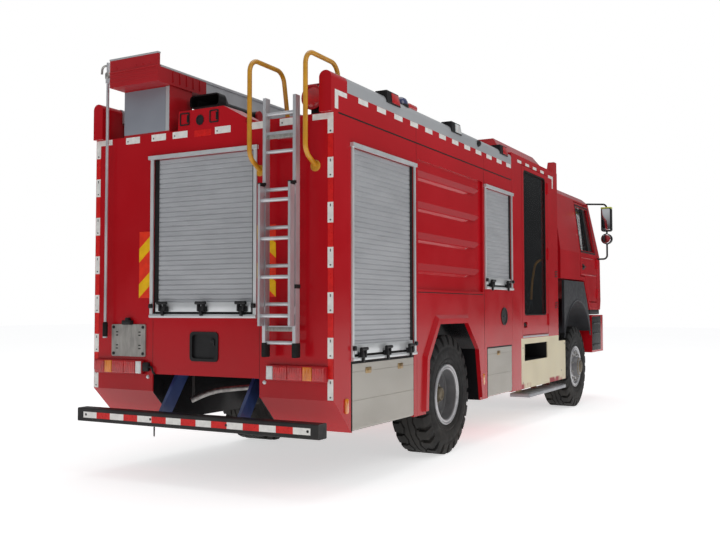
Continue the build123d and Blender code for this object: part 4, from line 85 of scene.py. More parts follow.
def ramp(tree, fac, stops):
    node = add(tree, "ValToRGB", links={"Fac": fac})
    while len(node.color_ramp.elements) < len(stops):
        node.color_ramp.elements.new(0.5)
    for element, (place, colour) in zip(node.color_ramp.elements, stops):
        element.position = place
        element.color = (*colour, 1.0)
    return node.outputs["Color"]


def spread(tree, fac, low, high, out_low, out_high):
    limits = {"From Min": low, "From Max": high, "To Min": out_low, "To Max": out_high}
    return add(tree, "MapRange", limits, {"Value": fac}).outputs["Result"]


def math_node(tree, operation, *sources):
    node = add(tree, "Math", links=dict(enumerate(sources)))
    node.operation = operation
    return node.outputs["Value"]


def mix(tree, fac, a, colour):
    """Colour a, overlaid with one colour where fac is high."""
    return add(tree, "MixRGB", {"Color2": (*colour, 1.0)}, {"Fac": fac, "Color1": a}).outputs["Color"]


def part_of(tree, axis):
    return add(tree, "SeparateXYZ", links={"Vector": place_on(tree)}).outputs[axis]


def within(tree, axis, low, high):
    """One between two limits on an axis of the part, zero outside."""
    place = part_of(tree, axis)
    if axis == "Y":
        place = math_node(tree, "ABSOLUTE", place)
    above = spread(tree, place, low - 0.001, low + 0.001, 0.0, 1.0)
    return math_node(tree, "MULTIPLY", above, spread(tree, place, high - 0.001, high + 0.001, 1.0, 0.0))


DUST = (0.30, 0.25, 0.19)
# Near-black painted shade, laid on a finish's inner zones where arches, tunnels and recesses lie in shade.
PAINTED_SHADE_BLACK = (0.010, 0.010, 0.011)
FAR = 9.0


def finish(name, slot, light, dark, rough=(0.35, 0.5), metal=0.0, coat=0.0, scale=1.4, stretch=EVEN, bump=0.0,
           bump_scale=120.0, bump_stretch=EVEN, dust=None, shine=0.5, spill=None, inner=()):
    """Surface whose colour and gloss wander with the place on the part.

    dust = (height, share) greys the low parts; spill = (colour, top) runs paint along the bottom edge;
    inner lists zones painted near-black as painted shade where the part lies in shade, each a row of (axis, low,
    high) with Y counted both ways.
    """
    made = bpy.data.materials.new(name)
    made.use_nodes = True
    tree = made.node_tree
    shader = tree.nodes["Principled BSDF"]
    shader.inputs["Metallic"].default_value = metal
    shader.inputs["Coat Weight"].default_value = coat
    shader.inputs["Coat Roughness"].default_value = 0.08
    shader.inputs["Specular IOR Level"].default_value = shine
    colour = ramp(tree, noise(tree, scale, 5.0, stretch), ((0.36, dark), (0.64, light)))
    if dust:
        low_down = spread(tree, part_of(tree, "Z"), 0.3, dust[0], dust[1], 0.0)
        patches = spread(tree, noise(tree, 5.0, 6.0), 0.35, 0.7, 0.25, 1.0)
        colour = mix(tree, math_node(tree, "MULTIPLY", low_down, patches), colour, DUST)
    if spill:
        low_down = spread(tree, part_of(tree, "Z"), spill[1] - 0.02, spill[1], 1.0, 0.0)
        patches = spread(tree, noise(tree, 3.2, 3.0, (1.0, 1.0, 0.4)), 0.50, 0.56, 0.0, 1.0)
        colour = mix(tree, math_node(tree, "MULTIPLY", low_down, patches), colour, spill[0])
    # Painted shade: each inner zone is coloured near-black where that part of the surface lies in shade.
    for zone in inner:
        inside = within(tree, *zone[0])
        for limit in zone[1:]:
            inside = math_node(tree, "MULTIPLY", inside, within(tree, *limit))
        colour = mix(tree, inside, colour, PAINTED_SHADE_BLACK)
    tree.links.new(colour, shader.inputs["Base Color"])
    gloss = spread(tree, noise(tree, scale * 4.0, 6.0, stretch), 0.35, 0.65, rough[0], rough[1])
    tree.links.new(gloss, shader.inputs["Roughness"])
    if bump:
        node = add(tree, "Bump", {"Strength": bump, "Distance": 0.002},
                   {"Height": noise(tree, bump_scale, 3.0, bump_stretch)})
        tree.links.new(node.outputs["Normal"], shader.inputs["Normal"])
    return made


def lens(name, slot, light, dark):
    """Moulded lamp cover: coloured plastic with a faint prism pattern."""
    made = finish(name, slot, light, dark, (0.12, 0.22), coat=0.6, scale=14.0, bump=0.25, bump_scale=160.0)
    shader = made.node_tree.nodes["Principled BSDF"]
    shader.inputs["Subsurface Weight"].default_value = 0.15
    shader.inputs["Subsurface Radius"].default_value = (0.01, 0.004, 0.004)
    return made


def glazing(name, tint, deep, cover):
    """Tinted pane; cover is the share of light it holds back."""
    made = finish(name, "glass", tint, deep, (0.02, 0.05), scale=0.9)
    made.node_tree.nodes["Principled BSDF"].inputs["Alpha"].default_value = cover
    return made


RED_GLOSS = dict(light=(0.47, 0.006, 0.013), dark=(0.41, 0.005, 0.010), rough=(0.16, 0.26), coat=0.10,
                 scale=0.8, bump=0.03, bump_scale=220.0, dust=(1.0, 0.06), shine=0.18)
RED = finish("red_gloss", "red_paint", **RED_GLOSS)
# Painted shade: black on the tank body's faces inside the wheel arches and underneath.
RED_TANK = finish("red_gloss_painted_shade_arches", "red_paint", inner=((("Y", -FAR, 1.236), ("Z", -FAR, 1.6)),),
                  **RED_GLOSS)
# Painted shade: black in the tunnel under the rear wall and on the skirts' inner faces.
RED_REAR = finish("red_gloss_rear_painted_shade", "red_paint", inner=(
    (("Y", -FAR, 0.566), ("Z", -FAR, 0.884), ("X", REAR + 0.012, FAR)),
    (("Y", -FAR, 1.22), ("Z", -FAR, 1.0), ("X", REAR + 0.33, FAR))), **RED_GLOSS)
RED_SATIN = finish("red_satin", "red_paint", (0.42, 0.008, 0.014), (0.33, 0.006, 0.01), (0.30, 0.42), coat=0.15,
                   scale=1.6, bump=0.05, bump_scale=160.0, shine=0.3)
SLAT = finish("slat_aluminium", "aluminium", (0.46, 0.47, 0.49), (0.41, 0.42, 0.44), (0.36, 0.48), metal=0.3,
              scale=2.2, stretch=(1.0, 1.0, 4.0), bump=0.05, bump_scale=90.0, bump_stretch=(1.0, 1.0, 12.0))
BRIGHT = finish("frame_aluminium", "aluminium", (0.70, 0.72, 0.73), (0.60, 0.62, 0.63), (0.28, 0.40), metal=0.45,
                scale=4.0, stretch=(1.0, 1.0, 0.2), bump=0.03)
PLANK = finish("plank_aluminium", "aluminium", (0.45, 0.43, 0.385), (0.40, 0.38, 0.34), (0.40, 0.55), metal=0.25,
               scale=1.5, stretch=(0.7, 1.0, 2.0), bump=0.04, bump_scale=60.0, bump_stretch=(0.3, 1.0, 20.0),
               dust=(1.0, 0.15))
LADDER = finish("ladder_aluminium", "aluminium", (0.66, 0.67, 0.69), (0.52, 0.53, 0.55), (0.28, 0.42), metal=0.6,
                scale=5.0, stretch=(1.0, 1.0, 0.3), bump=0.06, bump_scale=140.0)
PALE = finish("rail_grey", "pale_rail", (0.40, 0.415, 0.43), (0.34, 0.355, 0.37), (0.30, 0.42), coat=0.2,
              scale=1.2, stretch=(0.5, 1.0, 1.0), bump=0.02)
YELLOW = finish("rail_yellow", "yellow_paint", (0.62, 0.30, 0.014), (0.50, 0.225, 0.01), (0.28, 0.40), coat=0.2,
                scale=9.0, bump=0.04)
BLUE = finish("strut_blue", "blue_paint", (0.024, 0.054, 0.19), (0.014, 0.034, 0.13), (0.30, 0.45), coat=0.3,
              scale=6.0, bump=0.05, dust=(1.0, 0.10))
BLACK_STEEL = finish("black_steel", "black_paint", (0.018, 0.018, 0.019), (0.009, 0.009, 0.01), (0.38, 0.60),
                     scale=4.0, bump=0.12, bump_scale=90.0, dust=(0.75, 0.06), shine=0.3)
FRAME = finish("chassis_grey", "frame_paint", (0.026, 0.026, 0.028), (0.012, 0.012, 0.013), (0.45, 0.65),
               scale=3.0, bump=0.15, bump_scale=70.0, dust=(1.2, 0.22))
BLACK = finish("moulded_black", "black_plastic", (0.013, 0.013, 0.014), (0.007, 0.007, 0.008), (0.42, 0.58),
               scale=8.0, bump=0.18, bump_scale=320.0, shine=0.3)
GUARD = finish("guard_plastic", "black_plastic", (0.026, 0.028, 0.034), (0.016, 0.0175, 0.021), (0.40, 0.56),
               scale=5.0, bump=0.2, bump_scale=260.0, dust=(1.6, 0.05), shine=0.35)
RUBBER = finish("black_rubber", "black_plastic", (0.011, 0.011, 0.011), (0.006, 0.006, 0.006), (0.62, 0.80),
                scale=9.0, bump=0.15, bump_scale=180.0, shine=0.25)
TYRE = finish("tyre_rubber", "tyre", (0.018, 0.0178, 0.0175), (0.01, 0.01, 0.01), (0.64, 0.84), scale=5.0,
              bump=0.2, bump_scale=110.0, dust=(0.5, 0.06), shine=0.3)
RIM = finish("rim_grey", "steel", (0.26, 0.26, 0.27), (0.18, 0.18, 0.19), (0.34, 0.52), metal=0.3, scale=5.0,
             bump=0.08, bump_scale=90.0, dust=(0.9, 0.14))
FLANGE = finish("rim_silver", "steel", (0.52, 0.52, 0.53), (0.40, 0.40, 0.41), (0.30, 0.45), metal=0.6, scale=7.0,
                bump=0.06, bump_scale=90.0)
BRONZE = finish("hub_bronze", "steel", (0.20, 0.16, 0.10), (0.10, 0.08, 0.05), (0.42, 0.60), metal=0.4,
                scale=16.0, bump=0.2, bump_scale=80.0)
STEEL = finish("bolt_steel", "steel", (0.45, 0.44, 0.42), (0.28, 0.27, 0.26), (0.32, 0.50), metal=0.8, scale=30.0,
               bump=0.08)
# Painted shade: black inside the step recess of the cream panel; the red spill and the dust are real marks.
CREAM = finish("cream_panel", "cream_paint", (0.72, 0.65, 0.46), (0.63, 0.56, 0.39), (0.44, 0.58), scale=1.6,
               bump=0.06, bump_scale=60.0, dust=(0.8, 0.10), spill=((0.33, 0.02, 0.03), 0.535),
               inner=((("Y", -FAR, 1.238), ("Z", 0.79, 1.02)),))
STEP = finish("step_tread", "aluminium", (0.42, 0.43, 0.45), (0.30, 0.31, 0.33), (0.36, 0.52), metal=0.4,
              scale=5.0, bump=0.1)
LINING = finish("cabin_lining", "black_plastic", (0.03, 0.03, 0.031), (0.018, 0.018, 0.019), (0.60, 0.78),
                scale=3.0, bump=0.2, bump_scale=140.0)
CLOTH = finish("woven_cloth", "seat_cloth", (0.04, 0.042, 0.048), (0.02, 0.021, 0.025), (0.75, 0.9), scale=7.0,
               bump=0.35, bump_scale=420.0)
CLOTH.node_tree.nodes["Principled BSDF"].inputs["Sheen Weight"].default_value = 0.25
GLASS = glazing("tinted_glass", (0.020, 0.023, 0.024), (0.012, 0.014, 0.015), 0.42)
CLEAR = glazing("screen_glass", (0.030, 0.036, 0.037), (0.020, 0.025, 0.026), 0.22)
LAMP_RED = lens("lens_red", "lamp_red", (0.58, 0.014, 0.016), (0.40, 0.008, 0.010))
LAMP_ORANGE = lens("lens_orange", "lamp_red", (0.78, 0.24, 0.012), (0.62, 0.16, 0.008))
LAMP_WHITE = lens("lens_white", "lamp_clear", (0.72, 0.73, 0.72), (0.56, 0.57, 0.57))
LAMP_BLUE = lens("lens_blue", "lamp_clear", (0.012, 0.026, 0.12), (0.008, 0.014, 0.07))
TAPE_WHITE = finish("tape_white", "pale_rail", (0.84, 0.83, 0.79), (0.72, 0.71, 0.68), (0.30, 0.45), coat=0.4,
                    scale=22.0, bump=0.12, bump_scale=500.0)
TAPE_RED = finish("tape_red", "red_paint", (0.70, 0.012, 0.01), (0.58, 0.008, 0.008), (0.26, 0.40), coat=0.1,
                  scale=22.0, bump=0.12, bump_scale=500.0, shine=0.25)
WARN_YELLOW = finish("warning_yellow", "yellow_paint", (0.86, 0.50, 0.004), (0.76, 0.42, 0.003), (0.28, 0.42),
                     coat=0.1, scale=18.0, bump=0.1, bump_scale=500.0, shine=0.25)
WARN_RED = finish("warning_red", "red_paint", (0.80, 0.035, 0.008), (0.68, 0.026, 0.008), (0.28, 0.42), coat=0.1,
                  scale=18.0, bump=0.1, bump_scale=500.0, shine=0.25)
BRASS = finish("latch_brass", "steel", (0.42, 0.30, 0.15), (0.28, 0.19, 0.09), (0.30, 0.45), metal=0.7,
               scale=25.0, bump=0.05)
PANEL_GREY = finish("box_panel_grey", "pale_rail", (0.25, 0.27, 0.31), (0.22, 0.235, 0.27), (0.36, 0.48),
                    scale=1.5, bump=0.03)
CARRIER = finish("carrier_metal", "aluminium", (0.36, 0.345, 0.32), (0.26, 0.25, 0.235), (0.40, 0.55), metal=0.35,
                 scale=9.0, stretch=(1.0, 3.0, 1.0), bump=0.08)
MIRROR = finish("mirror_glass", "glass", (0.80, 0.82, 0.83), (0.74, 0.76, 0.78), (0.02, 0.05), metal=1.0,
                scale=3.0)
LIME = finish("marker_lime", "yellow_paint", (0.55, 0.62, 0.04), (0.44, 0.50, 0.03), (0.30, 0.45), coat=0.3,
              scale=14.0, bump=0.05)

# A star stands for left and right.
NODE_FINISH = {}
for look, names in (
        (FRAME, "chassis_frame leaf_springs rear_axle front_axle powertrain tie_rod knuckle_*"),
        (RED, "wheel_flares locker_body crew_cabin front_bumper cab_shell crew_door_* cab_door_*"),
        (RED_REAR, "rear_body"), (RED_TANK, "tank_body"), (BLACK_STEEL, "underrun_bar"),
        (RED_SATIN, "ladder_gantry monitor_base monitor_head"), (BLUE, "underrun_struts"),
        (SLAT, "roller_shutters"), (BRIGHT, "shutter_frames"), (PALE, "roof_rails"), (YELLOW, "grab_rails"),
        (LADDER, "roof_ladder rear_ladder hook_pole"), (LAMP_RED, "tail_lamps"), (LAMP_WHITE, "headlamps"),
        (BLACK, "roof_lamps monitor_barrel mirrors"), (CARRIER, "plate_carrier"), (CREAM, "crew_skirts"),
        (CLOTH, "crew_seats cab_seats"), (GUARD, "mudguards"), (CLEAR, "cab_glass"), (LINING, "dashboard"),
        (GLASS, "crew_glass_* cab_door_glass_*"), (PLANK, "rear_flap_* front_flap_*"),
        (TYRE, "tyre_rear_* tyre_front_*"), (RIM, "rim_rear_* rim_front_*")):
    for name in names.split():
        for word in SIDE_NAMES.values():
            NODE_FINISH[name.replace("*", word)] = look
for name, obj in nodes.items():
    if not obj.material_slots:
        obj.data.materials.append(NODE_FINISH[name])
    for held in obj.material_slots:
        held.material = NODE_FINISH[name]


# Mesh work for the added pieces


def mounted(mesh, name, look, body, smooth):
    """Object made from a mesh, with its finish, riding on a body."""
    mesh.materials.append(look)
    mesh.shade_smooth()
    mesh.set_sharp_from_angle(angle=math.radians(smooth))
    obj = bpy.data.objects.new(name, mesh)
    bpy.context.scene.collection.objects.link(obj)
    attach(obj, body)
    return obj


class Piece:
    """Mesh of one added piece, in the part's own frame."""

    def __init__(self):
        self.bm = bmesh.new()

    def block(self, low, high, edge=0.0, steps=2):
        """Rounded block between two corners given as station, across, up."""
        a = at(*low)
        b = at(*high)
        made = bmesh.ops.create_cube(self.bm, size=1.0)["verts"]
        for v in made:
            v.co = Vector([(a[i] + b[i]) / 2 + v.co[i] * abs(b[i] - a[i]) for i in range(3)])
        if edge:
            edges = list({e for v in made for e in v.link_edges})
            bmesh.ops.bevel(self.bm, geom=edges, offset=edge, segments=steps, profile=0.5, affect="EDGES",
                            clamp_overlap=True)
        return self

    def plate(self, points, depth, edge=0.0):
        """Flat outline of points carried along a depth vector, its far rim eased."""
        face = self.bm.faces.new([self.bm.verts.new(p) for p in points])
        grown = bmesh.ops.extrude_face_region(self.bm, geom=[face])["geom"]
        moved = [g for g in grown if isinstance(g, bmesh.types.BMVert)]
        bmesh.ops.translate(self.bm, vec=depth, verts=moved)
        if edge:
            rim = [g for g in grown if isinstance(g, bmesh.types.BMEdge)]
            bmesh.ops.bevel(self.bm, geom=rim, offset=edge, segments=2, profile=0.5, affect="EDGES",
                            clamp_overlap=True)

    def skin(self, rings, closed_round=True, caps=True):
        """Faces between rows of points of equal count."""
        made = [[self.bm.verts.new(p) for p in ring] for ring in rings]
        count = len(made[0])
        for a, b in zip(made, made[1:]):
            for i in range(count if closed_round else count - 1):
                j = (i + 1) % count
                self.bm.faces.new((a[i], b[i], b[j], a[j]))
        if caps:
            self.bm.faces.new(made[0])
            self.bm.faces.new(made[-1])

    def ring(self, outline_out, outline_in, depth):
        """Flat ring between two outlines of equal point count, carried along a depth vector."""
        far_in = [p + depth for p in outline_in]
        far_out = [p + depth for p in outline_out]
        self.skin([outline_out, outline_in, far_in, far_out, outline_out], caps=False)
        bmesh.ops.remove_doubles(self.bm, verts=self.bm.verts, dist=2e-5)

    def lathe(self, profile, base, axis, steps=24, closed=False):
        """Profile of (along, radius) points turned round an axis; closed joins its last point to its first."""
        along_axis = Vector(axis).normalized()
        side = along_axis.orthogonal().normalized()
        other = along_axis.cross(side)
        turns = [2 * math.pi * i / steps for i in range(steps)]
        rings = []
        for along, radius in profile + profile[:1] if closed else profile:
            centre = base + along_axis * along
            rings.append([centre + (side * math.cos(t) + other * math.sin(t)) * max(radius, 1e-5) for t in turns])
        self.skin(rings, caps=not closed)
        bmesh.ops.remove_doubles(self.bm, verts=self.bm.verts, dist=2e-5)

    def tube(self, points, radius, steps=10):
        """Round bar along a line of points."""
        tangents = []
        for i in range(len(points)):
            before = points[max(i - 1, 0)]
            after = points[min(i + 1, len(points) - 1)]
            tangents.append((after - before).normalized())
        side = tangents[0].orthogonal().normalized()
        turns = [2 * math.pi * i / steps for i in range(steps)]
        rings = []
        for p, tangent in zip(points, tangents):
            side = (side - tangent * side.dot(tangent)).normalized()
            other = tangent.cross(side)
            rings.append([p + (side * math.cos(t) + other * math.sin(t)) * radius for t in turns])
        self.skin(rings)

    def bolt(self, spot, axis, radius, tall):
        """Hexagon head on a washer."""
        self.lathe([(-0.002, radius * 1.35), (tall * 0.2, radius * 1.35), (tall * 0.25, radius),
                    (tall * 0.9, radius), (tall, radius * 0.8)], spot, axis, 6)

    def rear_plate(self, y0, y1, z0, z1, thick, out=0.0, edge=0.0, radius=0.0, station=0.0):
        """Plate lying on a face that looks backward."""
        low, high = min(y0, y1), max(y0, y1)
        outline = rounded(low, high, z0, z1, radius) if radius else square(low, high, z0, z1)
        self.plate(on_rear(outline, station - out), Vector((-thick, 0, 0)), edge)

    def side_plate(self, side, a0, a1, z0, z1, thick, edge=0.0, radius=0.0):
        """Plate lying on one of the body's sides."""
        outline = rounded(a0, a1, z0, z1, radius) if radius else square(a0, a1, z0, z1)
        self.plate(on_side(outline, side), aside(side, thick), edge)

    def done(self, name, look, body="chassis", smooth=35.0):
        bmesh.ops.recalc_face_normals(self.bm, faces=self.bm.faces)
        mesh = bpy.data.meshes.new(name)
        self.bm.to_mesh(mesh)
        self.bm.free()
        return mounted(mesh, name, look, body, smooth)


def square(u0, u1, v0, v1):
    return [(u1, v1), (u0, v1), (u0, v0), (u1, v0)]


def rounded(u0, u1, v0, v1, radius, steps=5):
    """Corner points of a rectangle with round corners."""
    corners = ((u1 - radius, v1 - radius, 0), (u0 + radius, v1 - radius, 90),
               (u0 + radius, v0 + radius, 180), (u1 - radius, v0 + radius, 270))
    found = []
    for cu, cv, start in corners:
        for i in range(steps + 1):
            turn = math.radians(start + 90 * i / steps)
            found.append((cu + radius * math.cos(turn), cv + radius * math.sin(turn)))
    return found


def oval(cu, cv, ru, rv, steps=30):
    turns = [2 * math.pi * i / steps for i in range(steps)]
    return [(cu + ru * math.cos(t), cv + rv * math.sin(t)) for t in turns]


def on_rear(outline, station=0.0):
    return [at(station, y, z) for y, z in outline]


def on_side(outline, side, out=0.0):
    return [at(a, side * (HALF + out), z) for a, z in outline]


def aside(side, thick):
    return Vector((0, side * thick, 0))


def bend(points, radius, steps=6):
    """The same line with each inner corner turned into an arc."""
    found = [points[0]]
    for a, b, c in zip(points, points[1:], points[2:]):
        into = (a - b).normalized()
        out = (c - b).normalized()
        reach = min(radius, (a - b).length * 0.49, (c - b).length * 0.49)
        for i in range(steps + 1):
            t = i / steps
            found.append((b + into * reach) * (1 - t) ** 2 + b * 2 * t * (1 - t) + (b + out * reach) * t ** 2)
    found.append(points[-1])
    return found


# Reflective plates on the edges of the body, each with plain dark marks
TAPE = 0.0015
TAPE_Z0 = 0.743
TAPE_PITCH = 0.349
TAPE_LONG = 0.160
TAPE_DROP = 0.031
DOT = dict(thick=0.0004, out=TAPE, radius=0.005)
white_tape, red_tape, stamp = Piece(), Piece(), Piece()
for side in SIDES:
    for number in range(6):
        low = TAPE_Z0 + TAPE_PITCH * number - (TAPE_DROP if number else 0.0)
        white_tape.rear_plate(side * 1.195, side * 1.246, low, low + TAPE_LONG, TAPE)
        stamp.rear_plate(side * 1.213, side * 1.228, low + 0.016, low + 0.028, **DOT)
        stamp.rear_plate(side * 1.216, side * 1.225, low + 0.125, low + 0.146, 0.0003, TAPE)
        red_tape.rear_plate(side * 1.197, side * 1.244, low + TAPE_LONG, low + TAPE_PITCH, TAPE * 0.8)
    white_tape.rear_plate(side * 1.195, side * 1.246, 2.803, 2.965, TAPE)
    white_tape.rear_plate(side * 1.056, side * 1.195, 2.917, 2.965, TAPE)
    stamp.rear_plate(side * 1.213, side * 1.228, 2.815, 2.828, **DOT)
    strips = [(0.014, 0.205, 3.111, 3.150), (0.014, 0.066, 3.000, 3.111)]
    for number in range(12):
        start = 0.394 + 0.328 * number
        strips.append((start, min(start + 0.165, 4.178), 3.113, 3.158))
    strips += [(middle - 0.075, middle + 0.075, 3.222, 3.256) for middle in (4.484, 4.796, 5.1, 5.419)]
    strips += [(5.690, 5.905, 3.200, 3.238), (5.860, 5.905, 3.075, 3.200)]
    for strip in strips:
        white_tape.side_plate(side, *strip, TAPE)
for middle in (0.811, 0.514, 0.276, -0.180, -0.530, -0.830):
    white_tape.rear_plate(middle - 0.081, middle + 0.081, 2.905, 2.963, TAPE)
    stamp.rear_plate(middle + 0.052, middle + 0.064, 2.922, 2.936, **DOT)
red_tape.rear_plate(-0.06, 0.12, 2.900, 2.955, TAPE)
white_tape.done("edge_tape_white", TAPE_WHITE)
red_tape.done("edge_tape_red", TAPE_RED)
stamp.done("edge_tape_stamps", LINING)

# Slanted red and yellow warning plates beside the rear shutter
WARN_Z0, WARN_Z1 = 1.539, 2.118
WARN_RISE = 0.120
WARN_SLOPE = 0.87
WARN_THICK = 0.002
warn_red, warn_yellow = Piece(), Piece()
for side, inner, outer in ((1, 0.594, 0.722), (-1, 0.536, 0.716)):
    warn_red.rear_plate(side * inner, side * outer, WARN_Z0, WARN_Z1, WARN_THICK)
    climb = WARN_SLOPE * (outer - inner)
    for start in (WARN_Z0, 1.849):
        points = ((outer, start), (outer, start + WARN_RISE), (inner, start + WARN_RISE + climb),
                  (inner, start + climb))
        slant = [at(-WARN_THICK, side * y, min(z, WARN_Z1)) for y, z in points]
        warn_yellow.plate(slant, Vector((-0.0012, 0, 0)))
warn_red.done("warning_plate_red", WARN_RED)
warn_yellow.done("warning_plate_yellow", WARN_YELLOW)

# Striped tape, rivets and a hanging pin on the underrun bar
BAR_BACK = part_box("underrun_bar")[0].x - REAR
STRIPES = 15
STRIPE_SPAN = 2.33
bar_tapes = (Piece(), Piece())
bar_bolt = Piece()
for number in range(STRIPES):
    y0 = STRIPE_SPAN / 2 - STRIPE_SPAN * number / STRIPES
    bar_tapes[number % 2].rear_plate(y0, y0 - STRIPE_SPAN / STRIPES, 0.499, 0.551, 0.0006, station=BAR_BACK)
for across in (1.135, 0.401, -0.381, -1.140):
    bar_bolt.lathe([(0, 0.012), (0.001, 0.011), (0.0014, 0.0)], at(BAR_BACK, across, 0.527), BACK, 12)
bar_bolt.lathe([(0, 0.007), (0.075, 0.006), (0.08, 0.004)], at(-0.13, 0.420, 0.455), DOWN, 10)
bar_tapes[0].done("bar_tape_white", TAPE_WHITE)
bar_tapes[1].done("bar_tape_red", TAPE_RED)
bar_bolt.done("bar_rivets", BLACK)

# Shutter hardware: seals, bottom bars, sills and latches
seals, bars, latches = Piece(), Piece(), Piece()


def placed(side, a, out, z):
    """Spot by place along a face, reach out of it and height; side 0 is the rear wall."""
    return (-out, a, z) if side == 0 else (a, side * (HALF + out), z)


def face_block(piece, side, low, high, edge):
    """Block on a face, its corners given as place along, reach out and height."""
    piece.block(placed(side, *low), placed(side, *high), edge)


def latch(side, a, up):
    """Lift latch: foot, two cheeks, crossing grip and hook."""
    face_block(latches, side, (a - 0.046, 0.004, up), (a + 0.046, 0.022, up + 0.046), 0.006)
    for shift in (-0.034, 0.016):
        face_block(latches, side, (a + shift, 0.016, up + 0.004), (a + shift + 0.020, 0.050, up + 0.080), 0.007)
    latches.tube([at(*placed(side, a + shift, 0.042, up + 0.074)) for shift in (-0.052, 0.052)], 0.014, 12)
    face_block(latches, side, (a - 0.012, 0.022, up - 0.034), (a + 0.014, 0.044, up + 0.040), 0.006)


SEAL_WIDE = 0.046
SHUTTERS = [(0, -0.500, 0.560, 1.400, 2.740, (0.428, 0.010, -0.400), 0.020)]
for side in SIDES:
    SHUTTERS.append((side, 0.305, 1.435, 1.060, 2.740, (0.415, 0.855, 1.305), -0.012))
    SHUTTERS.append((side, 3.300, 4.150, 1.690, 2.780, (3.425, 3.955), -0.012))
for side, a0, a1, z0, z1, places, lift in SHUTTERS:
    for start, wide in ((a0 + 0.001, 0.020), (a1 - 0.001, -SEAL_WIDE)):
        face_block(seals, side, (start, -0.013, z0 + 0.001), (start + wide, -0.006, z1 - 0.002), 0.002)
    face_block(seals, side, (a0 + 0.001, -0.013, z0 + 0.001), (a1 - 0.001, -0.002, z0 + 0.018), 0.003)
    face_block(bars, side, (a0 + 0.026, -0.0135, z0 + 0.019), (a1 - 0.026, 0.003, z0 + 0.100), 0.004)
    face_block(bars, side, (a0 - 0.032, 0.010, z0 - 0.030), (a1 + 0.032, 0.024, z0 - 0.006), 0.004)
    for place in places:
        latch(side, place, z0 + lift)
    for start in (a0 - 0.030, a1 - 0.008):
        face_block(latches, side, (start, 0.010, z0 + 0.050), (start + 0.038, 0.034, z0 + 0.088), 0.007)
seals.done("shutter_seals", RUBBER)
bars.done("shutter_bars", BRIGHT)
latches.done("shutter_latches", BLACK)

# Tail lamps: ribbed lens blocks over the lamp bodies, with a plug at the left one
LENS_ROWS = (("white", 0.655, 0.716), ("red", 0.720, 0.850), ("red", 0.854, 0.990), ("orange", 0.994, 1.078),
             ("red", 1.082, 1.190))
RIB_PITCH = 0.0215
lamp_parts = {"white": Piece(), "orange": Piece(), "red": Piece()}
lamp_body, screws = Piece(), Piece()
for side in SIDES:
    for colour, y0, y1 in LENS_ROWS:
        cover = lamp_parts[colour]
        cover.block((-0.048, side * y0, 0.887), (-0.030, side * y1, 0.993), 0.005)
        ribs = int((y1 - y0) / RIB_PITCH)
        for number in range(ribs):
            mid = y0 + (y1 - y0) * (number + 0.5) / ribs
            cover.block((-0.0505, side * (mid - 0.008), 0.893), (-0.046, side * (mid + 0.008), 0.987), 0.0022, 1)
    lamp_body.block((-0.042, side * 0.648, 0.879), (-0.001, side * 1.202, 1.002), 0.007)
    screws.bolt(at(-0.001, side * 0.610, 0.858), BACK, 0.013, 0.012)
for colour, look in (("white", LAMP_WHITE), ("orange", LAMP_ORANGE), ("red", LAMP_RED)):
    lamp_parts[colour].done("tail_lens_" + colour, look)
lamp_body.done("tail_lamp_bodies", RED_SATIN)
plug = Piece()
plug.block((-0.040, 0.580, 0.905), (-0.001, 0.650, 0.985), 0.014)
plug.tube(bend([at(-0.022, 0.585, 0.945), at(-0.022, 0.550, 0.945), at(-0.020, 0.540, 0.900),
                at(0.005, 0.535, 0.885)], 0.02), 0.009, 8)
plug.done("tail_lamp_plug", BLACK)
screws.done("tail_screws", BRIGHT)

# Black hatch in the middle of the rear wall
hatch = Piece()
hatch.ring(on_rear(rounded(-0.148, 0.148, 1.006, 1.252, 0.034)),
           on_rear(rounded(-0.124, 0.124, 1.030, 1.228, 0.026)), Vector((-0.010, 0, 0)))
hatch.plate(on_rear(rounded(-0.136, 0.136, 1.018, 1.240, 0.02), 0.016), Vector((-0.004, 0, 0)))
hatch.lathe([(0, 0.018), (0.010, 0.018), (0.012, 0.013), (0.012, 0.0)], at(0.012, -0.075, 1.180), BACK, 16)
hatch.block((0.000, -0.104, 1.140), (0.012, -0.088, 1.190), 0.002)
hatch.done("rear_hatch", BLACK)

# Plate carrier: screws, slots and its small lamp
CARRIER_FACE = 0.014
SCREW = [(0, 0.014), (0.006, 0.013), (0.009, 0.008), (0.009, 0.0)]
fittings = Piece()
for y in (0.661, 1.001):
    for z in (1.055, 1.285):
        fittings.lathe(SCREW, at(-CARRIER_FACE, y, z), BACK, 12)
for y in (0.700, 0.962):
    for z in (1.100, 1.128, 1.215, 1.243):
        fittings.rear_plate(y - 0.013, y + 0.013, z - 0.005, z + 0.005, 0.001, CARRIER_FACE, radius=0.004)
fittings.block((-0.050, 0.780, 1.306), (-0.001, 0.880, 1.346), 0.008)
fittings.block((-0.040, 0.810, 1.340), (-0.001, 0.850, 1.368), 0.006)
fittings.done("plate_fittings", BLACK)

# Rear fairing: two folding handles and the cable port
GRIP_RIM = 0.010
grips = Piece()
for y0, y1, z0, z1 in ((0.172, 0.276, 3.008, 3.117), (-0.136, -0.042, 3.004, 3.112)):
    inside = rounded(y0 + GRIP_RIM, y1 - GRIP_RIM, z0 + GRIP_RIM, z1 - GRIP_RIM, 0.008)
    grips.ring(on_rear(rounded(y0, y1, z0, z1, 0.012)), on_rear(inside), Vector((-0.006, 0, 0)))
    grips.block((-0.012, y0 + 0.012, z0 + 0.022), (-0.001, y0 + 0.024, z1 - 0.022), 0.003)
PORT = (0.060, 3.040)
grips.ring(on_rear(oval(*PORT, 0.040, 0.044)), on_rear(oval(*PORT, 0.030, 0.034)), Vector((-0.006, 0, 0)))
grips.plate(on_rear(oval(*PORT, 0.031, 0.035)), Vector((-0.002, 0, 0)))
grips.done("fairing_grips", BLACK)

